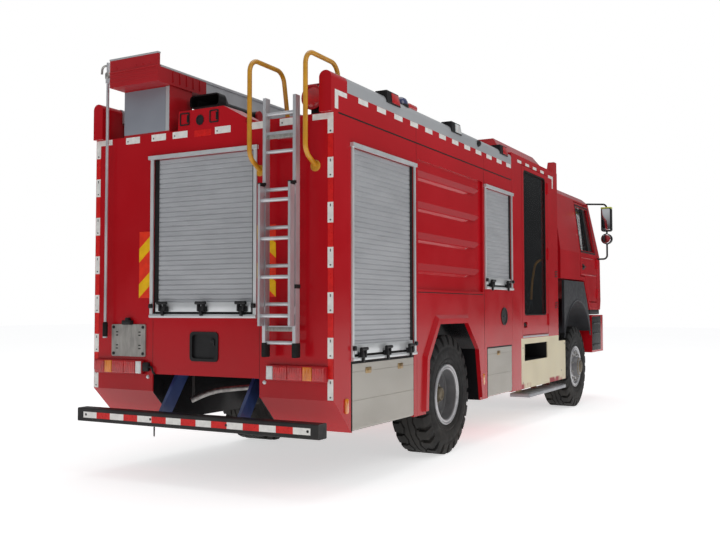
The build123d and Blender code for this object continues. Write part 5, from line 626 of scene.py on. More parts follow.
# Gantry: grey rear panel, pale edge and trim, rivets and ridges
GANTRY_BACK = -0.170
box_panel, trim, ridges = Piece(), Piece(), Piece()
box_panel.rear_plate(0.440, 0.912, 2.985, 3.372, 0.004, edge=0.0015)
box_panel.done("gantry_panel", PANEL_GREY)
trim.rear_plate(0.398, 0.437, 2.985, 3.376, 0.005, edge=0.0015)
trim.block((-0.174, 0.376, 3.618), (-0.138, 0.934, 3.634), 0.004)
for y in (0.386, 0.924):
    trim.tube([at(-0.130, y, 3.514), at(0.470, y, 3.514)], 0.008)
trim.done("gantry_trim", PALE)
for y in (0.470, 0.550, 0.625, 0.850):
    ridges.bolt(at(GANTRY_BACK, y, 3.545), BACK, 0.006, 0.005)
ridges.block((-0.178, 0.378, 3.508), (-0.168, 0.932, 3.518), 0.003)
for z in (3.418, 3.452, 3.486):
    ridges.rear_plate(0.384, 0.926, z, z + 0.007, 0.0025, edge=0.001, station=GANTRY_BACK)
for number in range(5):
    ridges.block((0.02 + 0.09 * number, 0.372, 3.405), (0.030 + 0.09 * number, 0.381, 3.505), 0.002)
ridges.done("gantry_ridges", RED_SATIN)

# Seams: dark lines where the panels meet
SIDE_SEAMS = ((0.070, 4.178, 2.968, 2.980), (1.500, 1.503, 2.790, 3.112), (3.246, 3.250, 1.010, 2.968),
              (1.534, 3.205, 1.592, 1.600), (3.322, 4.150, 1.006, 1.020), (3.322, 3.338, 0.476, 1.006),
              (0.268, 1.436, 1.006, 1.026), (0.268, 0.288, 0.476, 1.006))
seams = Piece()
for side in SIDES:
    for seam in SIDE_SEAMS:
        seams.side_plate(side, *seam, 0.0008)
for y in (0.560, -0.560):
    seams.rear_plate(y - 0.0015, y + 0.0015, 0.886, 1.365, 0.0005)
seams.done("panel_seams", RUBBER)

# Side markers, oval filler ports and louvres behind the crew doors
FILLER = (3.885, 1.355)
markers, ports, louvres = Piece(), Piece(), Piece()
for side in SIDES:
    for station in (0.192, 3.198):
        markers.side_plate(side, station - 0.026, station + 0.026, 0.622, 0.742, 0.012, 0.004, 0.02)
    ports.ring(on_side(oval(*FILLER, 0.106, 0.102), side), on_side(oval(*FILLER, 0.090, 0.086), side),
               aside(side, 0.008))
    ports.plate(on_side(oval(*FILLER, 0.092, 0.088), side), aside(side, 0.003))
    face_block(ports, side, (3.840, 0.002, 1.348), (3.930, 0.008, 1.362), 0.003)
    for base in (1.446, 1.868):
        for number in range(3):
            z = base + 0.032 * number
            outline = ((5.955, z), (6.080, z + 0.014), (6.080, z + 0.028), (5.955, z + 0.014))
            louvres.plate(on_side(outline, side), aside(side, 0.003), 0.001)
markers.done("side_markers", LAMP_ORANGE)
ports.done("filler_ports", BLACK)
louvres.done("cabin_louvres", RUBBER)

# Fold-down doors: turn latches
for side in SIDES:
    for flap, spots in (("front_flap_", (3.690,)), ("rear_flap_", (0.560, 1.155))):
        turn_latch = Piece()
        for a in spots:
            turn_latch.side_plate(side, a - 0.052, a + 0.052, 0.918, 0.968, 0.003, 0.001, 0.012)
            turn_latch.plate(on_side(oval(a, 0.943, 0.022, 0.020, 20), side, 0.003), aside(side, 0.004), 0.0015)
            face_block(turn_latch, side, (a - 0.018, 0.006, 0.939), (a + 0.018, 0.012, 0.947), 0.002)
        body = flap + SIDE_NAMES[side]
        turn_latch.done(body + "_latch", BRASS, body)

# Ladder feet, caps, clip and straps; pole grip and hook head; grab rail feet
POLE_Y = 1.060
rubbers, straps, hook, feet = Piece(), Piece(), Piece(), Piece()
for stile in (-0.985, -0.703):
    rubbers.block((-0.136, stile - 0.006, 1.066), (-0.064, stile + 0.034, 1.180), 0.008)
    rubbers.block((-0.199, stile - 0.002, 2.402), (-0.138, stile + 0.030, 2.430), 0.005)
    rubbers.block((-0.140, stile - 0.003, 2.412), (-0.120, stile + 0.031, 2.436), 0.004)
rubbers.block((-0.135, -0.992, 1.600), (-0.066, -0.955, 1.632), 0.005)
rubbers.lathe([(0, 0.019), (0.004, 0.023), (0.12, 0.023), (0.13, 0.016)], at(-0.060, POLE_Y, 1.2), UP, 18)
rubbers.done("ladder_rubber", RUBBER)
for z in (1.268, 2.782):
    straps.block((-0.106, -0.985, z), (-0.100, -0.675, z + 0.034), 0.002)
    for number in range(9):
        y = -0.950 + 0.030 * number
        straps.block((-0.110, y, z + 0.009), (-0.1055, y + 0.014, z + 0.025), 0.0015)
straps.done("ladder_straps", CARRIER)
hook.lathe([(0, 0.021), (0.010, 0.026), (0.050, 0.026), (0.060, 0.020)], at(-0.060, POLE_Y, 3.5), UP, 16)
hook.tube(bend([at(-0.060, POLE_Y, 3.555), at(-0.060, POLE_Y, 3.630), at(-0.060, 1.130, 3.620),
                at(-0.060, 1.135, 3.555)], 0.05), 0.010)
hook.done("pole_hook", STEEL)
for across in (-1.085, -0.560):
    for spot, axis in ((at(0.002, across, 2.560), BACK), (at(0.420, across, DECK), UP)):
        feet.lathe([(0, 0.045), (0.006, 0.045), (0.010, 0.040), (0.010, 0.021)], spot, axis)
feet.done("grab_rail_flanges", YELLOW)

# Lamps on the rails, beacon, small camera and work lamp
rail_lens = {"red": Piece(), "white": Piece()}
for side in SIDES:
    for station, colour in ((1.050, "red"), (2.490, "white"), (3.930, "red")):
        outline = ((station + 0.090, 3.240), (station + 0.050, 3.322), (station - 0.078, 3.322),
                   (station - 0.062, 3.240))
        rail_lens[colour].plate([at(a, side * 1.262, z) for a, z in outline], aside(side, 0.008), 0.004)
for colour, look in (("red", LAMP_RED), ("white", LAMP_WHITE)):
    rail_lens[colour].done("rail_lens_" + colour, look)
beacon, beacon_red, housing = Piece(), Piece(), Piece()
beacon.lathe([(0, 0.074), (0.030, 0.072), (0.058, 0.056), (0.072, 0.030), (0.076, 0.0)],
             at(1.330, -1.170, 3.296), UP, 28)
beacon.done("beacon_dome", LAMP_BLUE)
beacon_red.block((1.420, -1.225, 3.284), (1.600, -1.130, 3.336), 0.018, 3)
beacon_red.done("beacon_lens", LAMP_RED)
housing.lathe([(0, 0.080), (0.020, 0.080), (0.024, 0.074)], at(1.330, -1.170, 3.276), UP, 28)
housing.lathe([(0, 0.034), (0.012, 0.036), (0.026, 0.030), (0.034, 0.016), (0.036, 0.0)],
              at(3.090, -1.246, 3.232), (0, -1, 0), 20)
housing.done("rail_housings", BLACK)
WORK_LAMP = at(0.062, -1.020, 3.120)
bezel, lamp_glass = Piece(), Piece()
bezel.lathe([(0.0, 0.100), (0.012, 0.100), (0.016, 0.095), (0.016, 0.084), (0.004, 0.080), (0.0, 0.080)],
            WORK_LAMP, BACK, 32, closed=True)
bezel.tube(bend([at(0.130, -1.128, 3.090), at(0.130, -1.132, 3.236), at(0.130, -0.908, 3.236),
                 at(0.130, -0.912, 3.090)], 0.04), 0.010)
bezel.done("work_lamp_bezel", RED_SATIN)
lamp_glass.lathe([(0.0, 0.082), (0.008, 0.080), (0.014, 0.055), (0.017, 0.0)], WORK_LAMP, BACK, 32)
lamp_glass.done("work_lamp_lens", LAMP_RED)

# Tread plate on the deck, its lozenges turned by turns
LOZENGE = 0.056
TREAD_TOP = DECK + 0.0035
TREAD_START, TREAD_END, TREAD_HALF = 0.300, 4.176, 1.09
tread = Piece()
tread.block((0.270, -1.108, DECK + 0.0005), (TREAD_END, 1.108, TREAD_TOP))
for i in range(int((TREAD_END - TREAD_START) / LOZENGE)):
    for j in range(int(2 * TREAD_HALF / LOZENGE)):
        centre = at(TREAD_START + LOZENGE * (i + 0.5), -TREAD_HALF + LOZENGE * (j + 0.5), TREAD_TOP)
        long_way = 0.017 if (i + j) % 2 else 0.006
        wide = 0.023 - long_way
        corners = ((long_way, 0, 0), (0, wide, 0), (-long_way, 0, 0), (0, -wide, 0))
        rim = [tread.bm.verts.new(centre + Vector(d)) for d in corners]
        peak = tread.bm.verts.new(centre + Vector((0, 0, 0.0022)))
        for a, b in zip(rim, rim[1:] + rim[:1]):
            tread.bm.faces.new((a, b, peak))
tread.done("deck_tread", STEP, smooth=20.0)

# Monitor: foot bolts
monitor = Piece()
low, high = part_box("monitor_base")
pivot = (low + high) / 2
reach = (high.x - low.x) / 2 - 0.022
for number in range(8):
    turn = 2 * math.pi * (number + 0.5) / 8
    spot = Vector((pivot.x + reach * math.cos(turn), pivot.y + reach * math.sin(turn), DECK + 0.020))
    monitor.bolt(spot, UP, 0.010, 0.014)
monitor.done("monitor_bolts", STEEL)

# Crew cabin: door gaskets, handles, inner grips, lining, trim, step boards
for side in SIDES:
    word = SIDE_NAMES[side]
    body = "crew_door_" + word
    gasket, grip = Piece(), Piece()
    gasket.ring(on_side(rounded(4.640, 5.554, 1.359, 3.164, 0.045), side, -0.019),
                on_side(rounded(4.656, 5.538, 1.375, 3.148, 0.032), side, -0.019), aside(side, 0.016))
    face_block(gasket, side, (4.616, -0.024, 1.222), (4.730, -0.008, 1.264), 0.006)
    face_block(gasket, side, (4.628, -0.012, 1.226), (4.716, -0.002, 1.246), 0.004)
    gasket.lathe([(0, 0.024), (0.20, 0.022), (0.21, 0.017)], at(5.130, side * 1.172, 1.350), (0.12, 0, 0.99), 14)
    gasket.done("crew_gasket_" + word, RUBBER, body)
    route = ((5.590, 1.196, 2.085), (5.545, 1.168, 2.085), (5.330, 1.166, 2.030), (5.170, 1.168, 1.700),
             (5.128, 1.172, 1.340))
    grip.tube(bend([at(a, side * y, z) for a, y, z in route], 0.12), 0.016, 12)
    grip.done("crew_grip_" + word, YELLOW, body)
LINED = 1.186
lining = Piece()
for a0, a1, z0, z1 in ((4.236, 6.056, 1.2305, 1.238), (4.236, 6.056, 3.246, 3.2595),
                       (4.2345, 4.242, 1.238, 3.246), (6.050, 6.0595, 1.238, 3.246)):
    lining.block((a0, -LINED, z0), (a1, LINED, z1))
for number in range(6):
    lining.block((4.720 + 0.22 * number, -1.10, 1.237), (4.735 + 0.22 * number, 1.10, 1.243), 0.002)
lining.done("crew_lining", LINING)
sill_trim, boards, skirt_bolts = Piece(), Piece(), Piece()
for side in SIDES:
    sill_trim.side_plate(side, 4.565, 5.635, 1.086, 1.108, 0.004, 0.0015)
    for a, z in ((6.234, 0.593), (6.390, 0.960), (4.560, 0.960), (4.560, 0.540)):
        skirt_bolts.bolt(at(a, side * HALF, z), (0, side, 0), 0.008, 0.006)
    boards.block((4.766, side * 1.006, 0.342), (6.404, side * 1.262, 0.388), 0.006)
    for number in range(7):
        y = side * (1.030 + 0.034 * number)
        boards.block((4.790, y - side * 0.006, 0.386), (6.380, y + side * 0.006, 0.394), 0.003)
sill_trim.done("crew_sill_trim", PALE)
boards.done("step_boards", STEP)
skirt_bolts.done("skirt_bolts", STEEL)


def pad(piece, low, high, thin, crown, pull, channels=(), steps=22):
    """Sewn cushion between two corners: domed on its upper side along the axis thin, drawn in at its flanks."""
    a, b = at(*low), at(*high)
    middle = (a + b) / 2
    half = Vector([abs(b[i] - a[i]) / 2 for i in range(3)])
    flat = [i for i in range(3) if i != thin]
    share = [math.sin(math.pi / 2 * (2 * i / steps - 1)) for i in range(steps + 1)]
    fall = {u: max(0.0, 1 - abs(u) ** 8) ** 0.5 for u in share}
    sheets = []
    for facing in (1, -1):
        sheet = []
        for u in share:
            row = []
            for v in share:
                swell = fall[u] * fall[v]
                rise = (half[thin] - crown) * swell
                if facing > 0:
                    rise += crown * 2 * (1 - u * u) * (1 - v * v)
                    for spot in channels:
                        rise -= 0.012 * swell * math.exp(-((u - spot) / 0.035) ** 2)
                point = middle.copy()
                point[flat[0]] += u * half[flat[0]] * (1 - pull * (1 - v * v) * abs(u))
                point[flat[1]] += v * half[flat[1]] * (1 - pull * (1 - u * u) * abs(v))
                point[thin] += facing * rise - crown
                row.append(point)
            sheet.append(row)
        sheets.append(sheet)
    for sheet in sheets:
        piece.skin(sheet, closed_round=False, caps=False)
    border = [(0, i) for i in range(steps)] + [(i, steps) for i in range(steps)]
    border += [(steps, steps - i) for i in range(steps)] + [(steps - i, 0) for i in range(steps)]
    line = [sheets[0][i][j] for i, j in border]
    piece.tube(line + line[:1], 0.0045, 6)
    bmesh.ops.remove_doubles(piece.bm, verts=piece.bm.verts, dist=1e-4)


# Seats: sewn cushions on their stands, instead of the plain solids
ALONG, HIGH = 0, 2
bench, bench_pads = Piece(), Piece()
bench.block((4.246, -0.995, 1.240), (4.690, 0.995, 1.500), 0.020, 3)
bench.done("bench_stand", BLACK)
for number in range(4):
    y0 = -0.992 + 0.498 * number
    pad(bench_pads, (4.300, y0, 1.500), (4.708, y0 + 0.490, 1.670), HIGH, 0.022, 0.03, (-0.35, 0.35))
    pad(bench_pads, (4.246, y0, 1.690), (4.352, y0 + 0.490, 2.290), ALONG, 0.016, 0.03)
bench_seat = bench_pads.done("bench_cushions", CLOTH, smooth=60.0)
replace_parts(bench_seat, "crew_seats")
stands, cab_pads = Piece(), Piece()
for side in SIDES:
    y0, y1 = side * 0.384, side * 0.896
    stands.block((6.990, side * 0.430, 1.934), (7.400, side * 0.850, 2.040), 0.020, 3)
    stands.block((6.884, side * 0.420, 1.940), (6.930, side * 0.860, 2.600), 0.015, 3)
    pad(cab_pads, (6.975, y0, 2.030), (7.432, y1, 2.166), HIGH, 0.020, 0.04, (-0.2, 0.25))
    pad(cab_pads, (6.905, y0, 2.150), (6.998, y1, 2.620), ALONG, 0.014, 0.04, (-0.3, 0.2))
    pad(cab_pads, (6.910, side * 0.520, 2.640), (6.990, side * 0.760, 2.780), ALONG, 0.012, 0.05)
    for shift in (-0.05, 0.05):
        stands.tube([at(6.935, side * 0.640 + shift, 2.590), at(6.945, side * 0.640 + shift, 2.680)], 0.008)
stands.done("cab_seat_stands", BLACK, "cab")
cab_seat = cab_pads.done("cab_cushions", CLOTH, "cab", 60.0)
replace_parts(cab_seat, "cab_seats")

# Cab: window frames, handles, mouldings, mirrors, visor, wipers, grille
CAB_HALF = 1.235
BELT = 2.28
LEAN = 0.105 / 0.82
WINDOW = [(7.450, 2.330), (8.270, 2.330), (8.150, 3.000), (7.450, 3.000)]
WINDOW_BAR = [(7.905, 2.334), (7.940, 2.334), (7.875, 2.996), (7.840, 2.996)]


def on_cab(outline, side, sunk):
    """Outline laid on the cab's side, which leans in above the belt, and sunk under its face."""
    return [at(a, side * (CAB_HALF - max(0.0, z - BELT) * LEAN - sunk), z) for a, z in outline]


def grown(points, step):
    """Outline moved out from its middle, station and height alike."""
    mid_a = sum(a for a, z in points) / len(points)
    mid_z = sum(z for a, z in points) / len(points)
    return [(a + math.copysign(step, a - mid_a), z + math.copysign(step, z - mid_z)) for a, z in points]


for side in SIDES:
    word = SIDE_NAMES[side]
    body = "cab_door_" + word
    door_black, moulding = Piece(), Piece()
    door_black.ring(on_cab(grown(WINDOW, 0.034), side, 0.004), on_cab(grown(WINDOW, -0.010), side, 0.004),
                    aside(side, 0.008))
    door_black.plate(on_cab(WINDOW_BAR, side, 0.020), aside(side, 0.020), 0.003)
    door_black.plate(on_cab(rounded(7.490, 7.610, 2.040, 2.118, 0.012), side, 0.002), aside(side, 0.006), 0.002)
    door_black.block((7.500, side * 1.236, 2.066), (7.600, side * 1.262, 2.092), 0.008)
    door_black.done("cab_door_fittings_" + word, BLACK, body)
    moulding.block((7.400, side * 1.230, 1.956), (8.330, side * 1.2405, 1.978), 0.005)
    moulding.block((7.400, side * 1.230, 2.210), (8.330, side * 1.2395, 2.224), 0.004)
    moulding.done("cab_door_moulding_" + word, RED, body)
mirror_glass, lime = Piece(), Piece()
for side in SIDES:
    outline = rounded(1.324, 1.456, 2.698, 3.044, 0.022)
    mirror_glass.plate([at(8.3955, side * y, z) for y, z in outline], Vector((-0.003, 0, 0)), 0.001)
    mirror_glass.lathe([(0, 0.072), (0.006, 0.066), (0.009, 0.0)], at(8.391, side * 1.390, 2.560), BACK, 28)
    lime.block((8.392, side * 1.306, 3.046), (8.498, side * 1.473, 3.072), 0.010, 3)
mirror_glass.done("mirror_glass", MIRROR, "cab")
lime.done("mirror_caps", LIME, "cab")


def screen(z, out=0.0):
    """Station of the windscreen's outer face at a height."""
    return 8.660 - (z - 2.200) * (0.31 / 0.88) + out


cab_black = Piece()
visor = [(8.290, 3.112), (8.420, 3.060), (8.474, 3.024), (8.480, 3.034), (8.430, 3.078), (8.300, 3.134)]
cab_black.skin([[at(a, y, z) for a, z in visor] for y in (-1.060, -0.53, 0.0, 0.53, 1.060)])
frit_out = rounded(-1.030, 1.030, 2.250, 3.050, 0.06)
frit_in = rounded(-0.965, 0.965, 2.330, 2.985, 0.05)
cab_black.ring([at(screen(z, -0.014), y, z) for y, z in frit_out],
               [at(screen(z, -0.014), y, z) for y, z in frit_in], Vector((0.012, 0, 0.004)))
for y0, y1 in ((-0.75, -0.10), (-0.05, 0.60)):
    cab_black.tube([at(screen(2.250, 0.020), y0, 2.250), at(screen(2.300, 0.030), (y0 + y1) / 2, 2.300),
                    at(screen(2.330, 0.022), y1, 2.330)], 0.008, 8)
    blade = ((y1 - 0.42, 2.305), (y1 + 0.16, 2.355))
    cab_black.tube([at(screen(z, 0.012), y, z) for y, z in blade], 0.007, 8)
for number in range(5):
    z0 = 1.755 + 0.074 * number
    cab_black.block((8.6505, -0.618, z0 + 0.001), (8.6555, 0.618, z0 + 0.037))
    for fin in range(25):
        y = -0.600 + 0.050 * fin
        cab_black.block((8.654, y - 0.003, z0 + 0.001), (8.668, y + 0.003, z0 + 0.037))
cab_black.done("cab_black_trim", BLACK, "cab")
cabin_front, cab_lamps = Piece(), Piece()
cabin_front.block((6.1105, -1.180, 1.260), (6.122, 1.180, 3.240), 0.004)
for number in range(11):
    y = -1.10 + 0.22 * number
    cabin_front.block((6.118, y - 0.035, 1.300), (6.130, y + 0.035, 3.200), 0.005)
cabin_front.done("cabin_front_panel", GUARD)
for across in (-0.86, -0.20, 0.0, 0.20, 0.86):
    cab_lamps.block((8.300, across - 0.055, 3.118), (8.352, across + 0.055, 3.146), 0.010, 3)
cab_lamps.done("cab_roof_lamps", LAMP_ORANGE, "cab")
head, rings = Piece(), Piece()
for side in SIDES:
    for y in (0.800, 0.985):
        centre = at(8.830, side * y, 1.070)
        head.lathe([(0.0, 0.082), (0.006, 0.078), (0.010, 0.050), (0.012, 0.0)], centre, AHEAD, 28)
        rings.lathe([(0.0, 0.094), (0.008, 0.094), (0.010, 0.088), (0.004, 0.082), (0.0, 0.082)], centre, AHEAD,
                    28, closed=True)
head.done("headlamp_glass", LAMP_WHITE)
rings.done("headlamp_rings", BLACK)

# Dark step housings under the cab doors, and the steps in the bumper's ends
steps_cab, steps_low = Piece(), Piece()
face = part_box("front_bumper")[1].y
for side in SIDES:
    steps_cab.block((7.975, side * 0.930, 1.352), (8.600, side * 1.214, 1.427), 0.012, 3)
    steps_low.block((7.966, side * (face - 0.010), 0.790), (8.520, side * (face + 0.004), 1.320), 0.010, 3)
    for z in (0.860, 1.040, 1.200):
        steps_low.block((8.030, side * face, z), (8.440, side * (face + 0.012), z + 0.030), 0.006, 3)
steps_cab.done("cab_step_housings", BLACK, "cab")
steps_low.done("bumper_steps", BLACK)

# Mudguard lips
LIP_REACH = 0.764
LIP_Z = 0.800
lips = Piece()
for side in SIDES:
    turns = [math.radians(18 + 144 * i / 24) for i in range(25)]
    lips.tube([at(FRONT_AXLE + LIP_REACH * math.cos(t), side * 1.236, LIP_Z + LIP_REACH * math.sin(t))
               for t in turns], 0.012, 8)
lips.done("mudguard_lips", GUARD)

# Bent pipe seen under the rear wall, held by two straps from the frame's rails
pipes, hangers = Piece(), Piece()
pipes.tube(bend([at(0.300, 0.380, 0.640), at(0.420, 0.240, 0.720), at(0.620, -0.040, 0.752),
                 at(0.820, -0.300, 0.745), at(0.930, -0.400, 0.745)], 0.15), 0.024, 14)
pipes.done("tail_pipe", STEEL)
for station, across, low in ((0.312, 0.366, 0.648), (0.915, -0.386, 0.745)):
    hangers.block((station - 0.015, across - 0.004, low), (station + 0.015, across + 0.004, 0.902), 0.002)
hangers.done("pipe_hangers", FRAME)

# Tyres: lugged tread and ringed walls, instead of the plain turned solids
LUGS = 24
RADIUS = 0.590
HUB_Y = 1.015
PERIOD = 2 * math.pi * RADIUS / LUGS
LUG_LOW, LUG_HIGH = 0.0225, 0.0265
HALF_MARKS = [0.0, 0.009, 0.012, 0.018, LUG_LOW, LUG_HIGH, 0.040]
HALF_MARKS += [PERIOD / 2 - m for m in reversed(HALF_MARKS)]
MARKS = HALF_MARKS[:-1] + [PERIOD - m for m in reversed(HALF_MARKS[1:])]
TREAD_Y = [0.0, 0.005, 0.008, 0.030, 0.046, 0.051, 0.057, 0.066, 0.072, 0.080, 0.094, 0.098, 0.104, 0.130,
           0.150, 0.165]
# Rows of across, radius and depth of the lug gaps
WALL = [(0.172, 0.580, 0.030), (0.179, 0.563, 0.028), (0.186, 0.545, 0.024), (0.190, 0.524, 0.016),
        (0.193, 0.500, 0.007), (0.194, 0.486, 0.0), (0.191, 0.478, 0.0), (0.191, 0.462, 0.0), (0.195, 0.452, 0.0),
        (0.195, 0.428, 0.0), (0.193, 0.400, 0.0), (0.192, 0.372, 0.0), (0.187, 0.364, 0.0), (0.187, 0.352, 0.0),
        (0.189, 0.346, 0.0), (0.182, 0.328, 0.0), (0.168, 0.306, 0.0), (0.165, 0.300, 0.0), (0.150, 0.268, 0.0)]
SECTION = [(-y, r, d) for y, r, d in reversed(WALL)]
SECTION += [(y, None, 0.0) for y in [-v for v in reversed(TREAD_Y[1:])] + TREAD_Y] + WALL


def eased(value, low, high):
    return min(max((value - low) / (high - low), 0.0), 1.0)


def from_gap(arc, y):
    """Way round the tyre to the middle of the nearest lug gap; the two sides are half a pitch apart."""
    shift = 0.0 if y >= 0 else PERIOD / 2
    return abs((arc - shift + PERIOD / 2) % PERIOD - PERIOD / 2)


def groove(arc, y):
    """Depth of the tread's cuts at a place round and across the tyre."""
    near = from_gap(arc, y)
    across = abs(y)
    deep = 0.0
    if across >= 0.097:
        deep = 0.030 * (1 - eased(near, LUG_LOW, LUG_HIGH))
    elif across >= 0.056:
        deep = 0.020 * (1 - eased(near, 0.009, 0.012))
    ring_cut = 0.016 * eased(across, 0.051, 0.057) * (1 - eased(across, 0.066, 0.072))
    sipe = 0.010 * (1 - eased(across, 0.005, 0.008))
    return max(deep, ring_cut, sipe)


def tyre(wheel, station, side):
    verts = []
    for lug in range(LUGS):
        for mark in MARKS:
            turn = 2 * math.pi * (lug * PERIOD + mark) / (LUGS * PERIOD)
            wave = 0.010 * (abs(mark / PERIOD - 0.5) * 4 - 1)
            for y, r, deep in SECTION:
                if r is None:
                    reach = RADIUS - groove(mark, y)
                    out = y + wave * eased(abs(y), 0.010, 0.045) * (1 - eased(abs(y), 0.080, 0.097))
                else:
                    cut = 0.7 * deep * (1 - eased(from_gap(mark, y), LUG_LOW, LUG_HIGH))
                    reach = r - cut
                    out = y - math.copysign(cut, y)
                verts.append((REAR + station + reach * math.cos(turn), side * (HUB_Y + out),
                              RADIUS + reach * math.sin(turn)))
    count = len(SECTION)
    turns = LUGS * len(MARKS)
    faces = []
    for i in range(turns):
        a = i * count
        b = ((i + 1) % turns) * count
        for j in range(count):
            k = (j + 1) % count
            faces.append((a + j, b + j, b + k, a + k) if side > 0 else (a + k, b + k, b + j, a + j))
    name = "tyre_tread_" + wheel
    mesh = bpy.data.meshes.new(name)
    mesh.from_pydata(verts, [], faces)
    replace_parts(mounted(mesh, name, TYRE, "wheel_" + wheel, 32.0), "tyre_" + wheel)


# Wheels: flanges, dishes, nuts and hubs; the front ones stand out, the rear ones lie deep
FRONT = dict(
    holes=0.156, inward=0.0, nut_face=0.150, nut_ring=0.200, bolt_face=0.230, bolt_ring=0.112,
    dish=[(0.153, 0.228), (0.158, 0.226), (0.163, 0.178), (0.163, 0.150), (0.158, 0.150), (0.153, 0.176)],
    hub=[(0.216, 0.128), (0.236, 0.128), (0.240, 0.122), (0.240, 0.094), (0.252, 0.090), (0.262, 0.080),
         (0.262, 0.050), (0.268, 0.044), (0.268, 0.0)])
DEEP = dict(
    holes=-0.028, inward=0.45, nut_face=-0.060, nut_ring=0.152, bolt_face=0.066, bolt_ring=0.093,
    dish=[(-0.060, 0.178), (-0.050, 0.180), (-0.046, 0.172), (-0.046, 0.130), (-0.060, 0.128)],
    hub=[(-0.055, 0.124), (0.050, 0.122), (0.062, 0.118), (0.066, 0.110), (0.066, 0.076), (0.104, 0.071),
         (0.118, 0.061), (0.120, 0.042), (0.114, 0.036), (0.114, 0.0)])
LIP = [(0.160, 0.301), (0.172, 0.302), (0.180, 0.298), (0.184, 0.290), (0.180, 0.281), (0.177, 0.276),
       (0.180, 0.270), (0.180, 0.259), (0.172, 0.250), (0.160, 0.249)]
BAND = [(0.040, 0.2535), (0.060, 0.2535), (0.060, 0.2485), (0.040, 0.2485)]
HOLE_RIM = [(-0.004, 0.021), (0.004, 0.021), (0.004, 0.015), (-0.004, 0.015)]
NUT = [(-0.005, 0.024), (0.004, 0.024), (0.006, 0.019), (0.026, 0.019), (0.030, 0.015), (0.030, 0.011),
       (0.050, 0.010), (0.052, 0.0)]


def spokes(count, start=0.0):
    """Directions spread evenly round a wheel."""
    turns = [2 * math.pi * (number + start) / count for number in range(count)]
    return [Vector((math.cos(t), 0, math.sin(t))) for t in turns]


for wheel, station, side, form in (
        ("rear_right", REAR_AXLE, -1, DEEP), ("rear_left", REAR_AXLE, 1, DEEP),
        ("front_right", FRONT_AXLE, -1, FRONT), ("front_left", FRONT_AXLE, 1, FRONT)):
    tyre(wheel, station, side)
    body = "wheel_" + wheel
    outward = aside(side, 1)
    middle = at(station, side * HUB_Y, RADIUS)
    flange, dish, bolts, hub = Piece(), Piece(), Piece(), Piece()
    for profile in (LIP, BAND):
        flange.lathe(profile, middle, outward, 72, closed=True)
    flange.done("rim_flange_" + wheel, FLANGE, body)
    dish.lathe(form["dish"], middle, outward, 60, closed=True)
    for way in spokes(8):
        spot = middle + outward * form["holes"] + way * 0.214
        dish.lathe(HOLE_RIM, spot, outward - way * form["inward"], 20, closed=True)
    dish.done("wheel_dish_" + wheel, FLANGE, body)
    for way in spokes(10, 0.5):
        bolts.lathe(NUT, middle + outward * form["nut_face"] + way * form["nut_ring"], outward, 6)
    for way in spokes(12):
        bolts.bolt(middle + outward * form["bolt_face"] + way * form["bolt_ring"], outward, 0.009, 0.012)
    bolts.done("wheel_nuts_" + wheel, STEEL, body)
    hub.lathe(form["hub"], middle, outward, 40)
    hub.done("hub_cover_" + wheel, BRONZE, body)

# Ground, light and camera
REACH = 60.0
ground_look = finish("pale_ground", "pale_rail", (0.86, 0.86, 0.86), (0.84, 0.84, 0.84), (0.85, 0.95), scale=0.4,
                     shine=0.1)
ground_shader = ground_look.node_tree.nodes["Principled BSDF"]
ground_shader.inputs["Emission Color"].default_value = (1.0, 1.0, 1.0, 1.0)
ground_shader.inputs["Emission Strength"].default_value = 0.58
ground_mesh = bpy.data.meshes.new("ground")
ground_mesh.from_pydata([(-REACH, -REACH, 0), (REACH, -REACH, 0), (REACH, REACH, 0), (-REACH, REACH, 0)], [],
                        [(0, 1, 2, 3)])
ground_mesh.materials.append(ground_look)
ground = bpy.data.objects.new("ground", ground_mesh)
bpy.context.scene.collection.objects.link(ground)

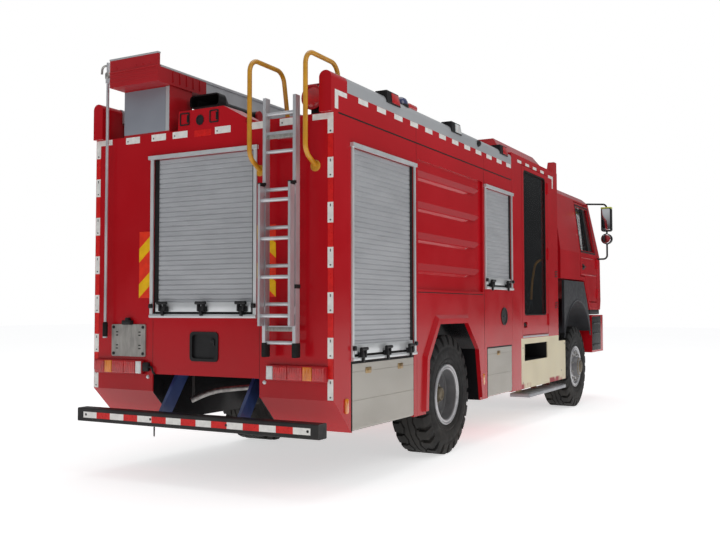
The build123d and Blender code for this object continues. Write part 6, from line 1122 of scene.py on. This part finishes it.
# The sky lights the part from above; the camera itself sees plain white behind it
world = bpy.data.worlds.new("studio")
bpy.context.scene.world = world
world.use_nodes = True
sky_tree = world.node_tree
dome = sky_tree.nodes["Background"]
toward = add(sky_tree, "TexCoord").outputs["Generated"]
height = add(sky_tree, "SeparateXYZ", links={"Vector": toward}).outputs["Z"]
sky = ramp(sky_tree, height, ((0.0, (0.10, 0.10, 0.105)), (0.10, (0.16, 0.16, 0.165)), (0.40, (0.80, 0.81, 0.84)),
                              (1.0, (1.0, 1.0, 1.0))))
sky_tree.links.new(sky, dome.inputs["Color"])
dome.inputs["Strength"].default_value = 0.55
backdrop = add(sky_tree, "Background", {"Color": (1.0, 1.0, 1.0, 1.0)})
choose = add(sky_tree, "MixShader", links={"Fac": add(sky_tree, "LightPath").outputs["Is Camera Ray"],
                                           1: dome.outputs["Background"], 2: backdrop.outputs["Background"]})
sky_tree.links.new(choose.outputs["Shader"], sky_tree.nodes["World Output"].inputs["Surface"])


def area_light(name, place, target, size, power, colour=(1.0, 1.0, 1.0)):
    lamp = bpy.data.lights.new(name, "AREA")
    lamp.shape = "DISK"
    lamp.size = size
    lamp.energy = power
    lamp.color = colour
    obj = bpy.data.objects.new(name, lamp)
    obj.location = place
    obj.rotation_mode = "QUATERNION"
    obj.rotation_quaternion = (Vector(target) - Vector(place)).to_track_quat("-Z", "Y")
    bpy.context.scene.collection.objects.link(obj)


area_light("key", (-6.0, -12.0, 10.0), (-1.0, 0.0, 1.5), 8.0, 280.0, (1.0, 0.98, 0.95))
area_light("top", (0.0, 0.0, 16.0), (0.0, 0.0, 0.0), 12.0, 500.0)

# Camera fitted to the photo
CAMERA_PLACE = (-10.123, -4.648, 1.442)
CAMERA_YAW = math.radians(28.66)
CAMERA_PITCH = math.radians(2.544)
CAMERA_ROLL = math.radians(-0.074)
CAMERA_LENS = 43.815
forward = Vector((math.cos(CAMERA_YAW) * math.cos(CAMERA_PITCH), math.sin(CAMERA_YAW) * math.cos(CAMERA_PITCH),
                  math.sin(CAMERA_PITCH)))
right = Vector((math.sin(CAMERA_YAW), -math.cos(CAMERA_YAW), 0.0))
up = right.cross(forward)
rolled_right = right * math.cos(CAMERA_ROLL) + up * math.sin(CAMERA_ROLL)
rolled_up = up * math.cos(CAMERA_ROLL) - right * math.sin(CAMERA_ROLL)
camera_data = bpy.data.cameras.new("photo_view")
camera_data.sensor_fit = "HORIZONTAL"
camera_data.sensor_width = 36.0
camera_data.lens = CAMERA_LENS
camera_data.clip_end = 200.0
camera = bpy.data.objects.new("photo_view", camera_data)
bpy.context.scene.collection.objects.link(camera)
facing = Matrix((rolled_right, rolled_up, -forward)).transposed().to_4x4()
camera.matrix_world = Matrix.Translation(CAMERA_PLACE) @ facing
bpy.context.scene.camera = camera
bpy.context.scene.view_settings.view_transform = "Standard"
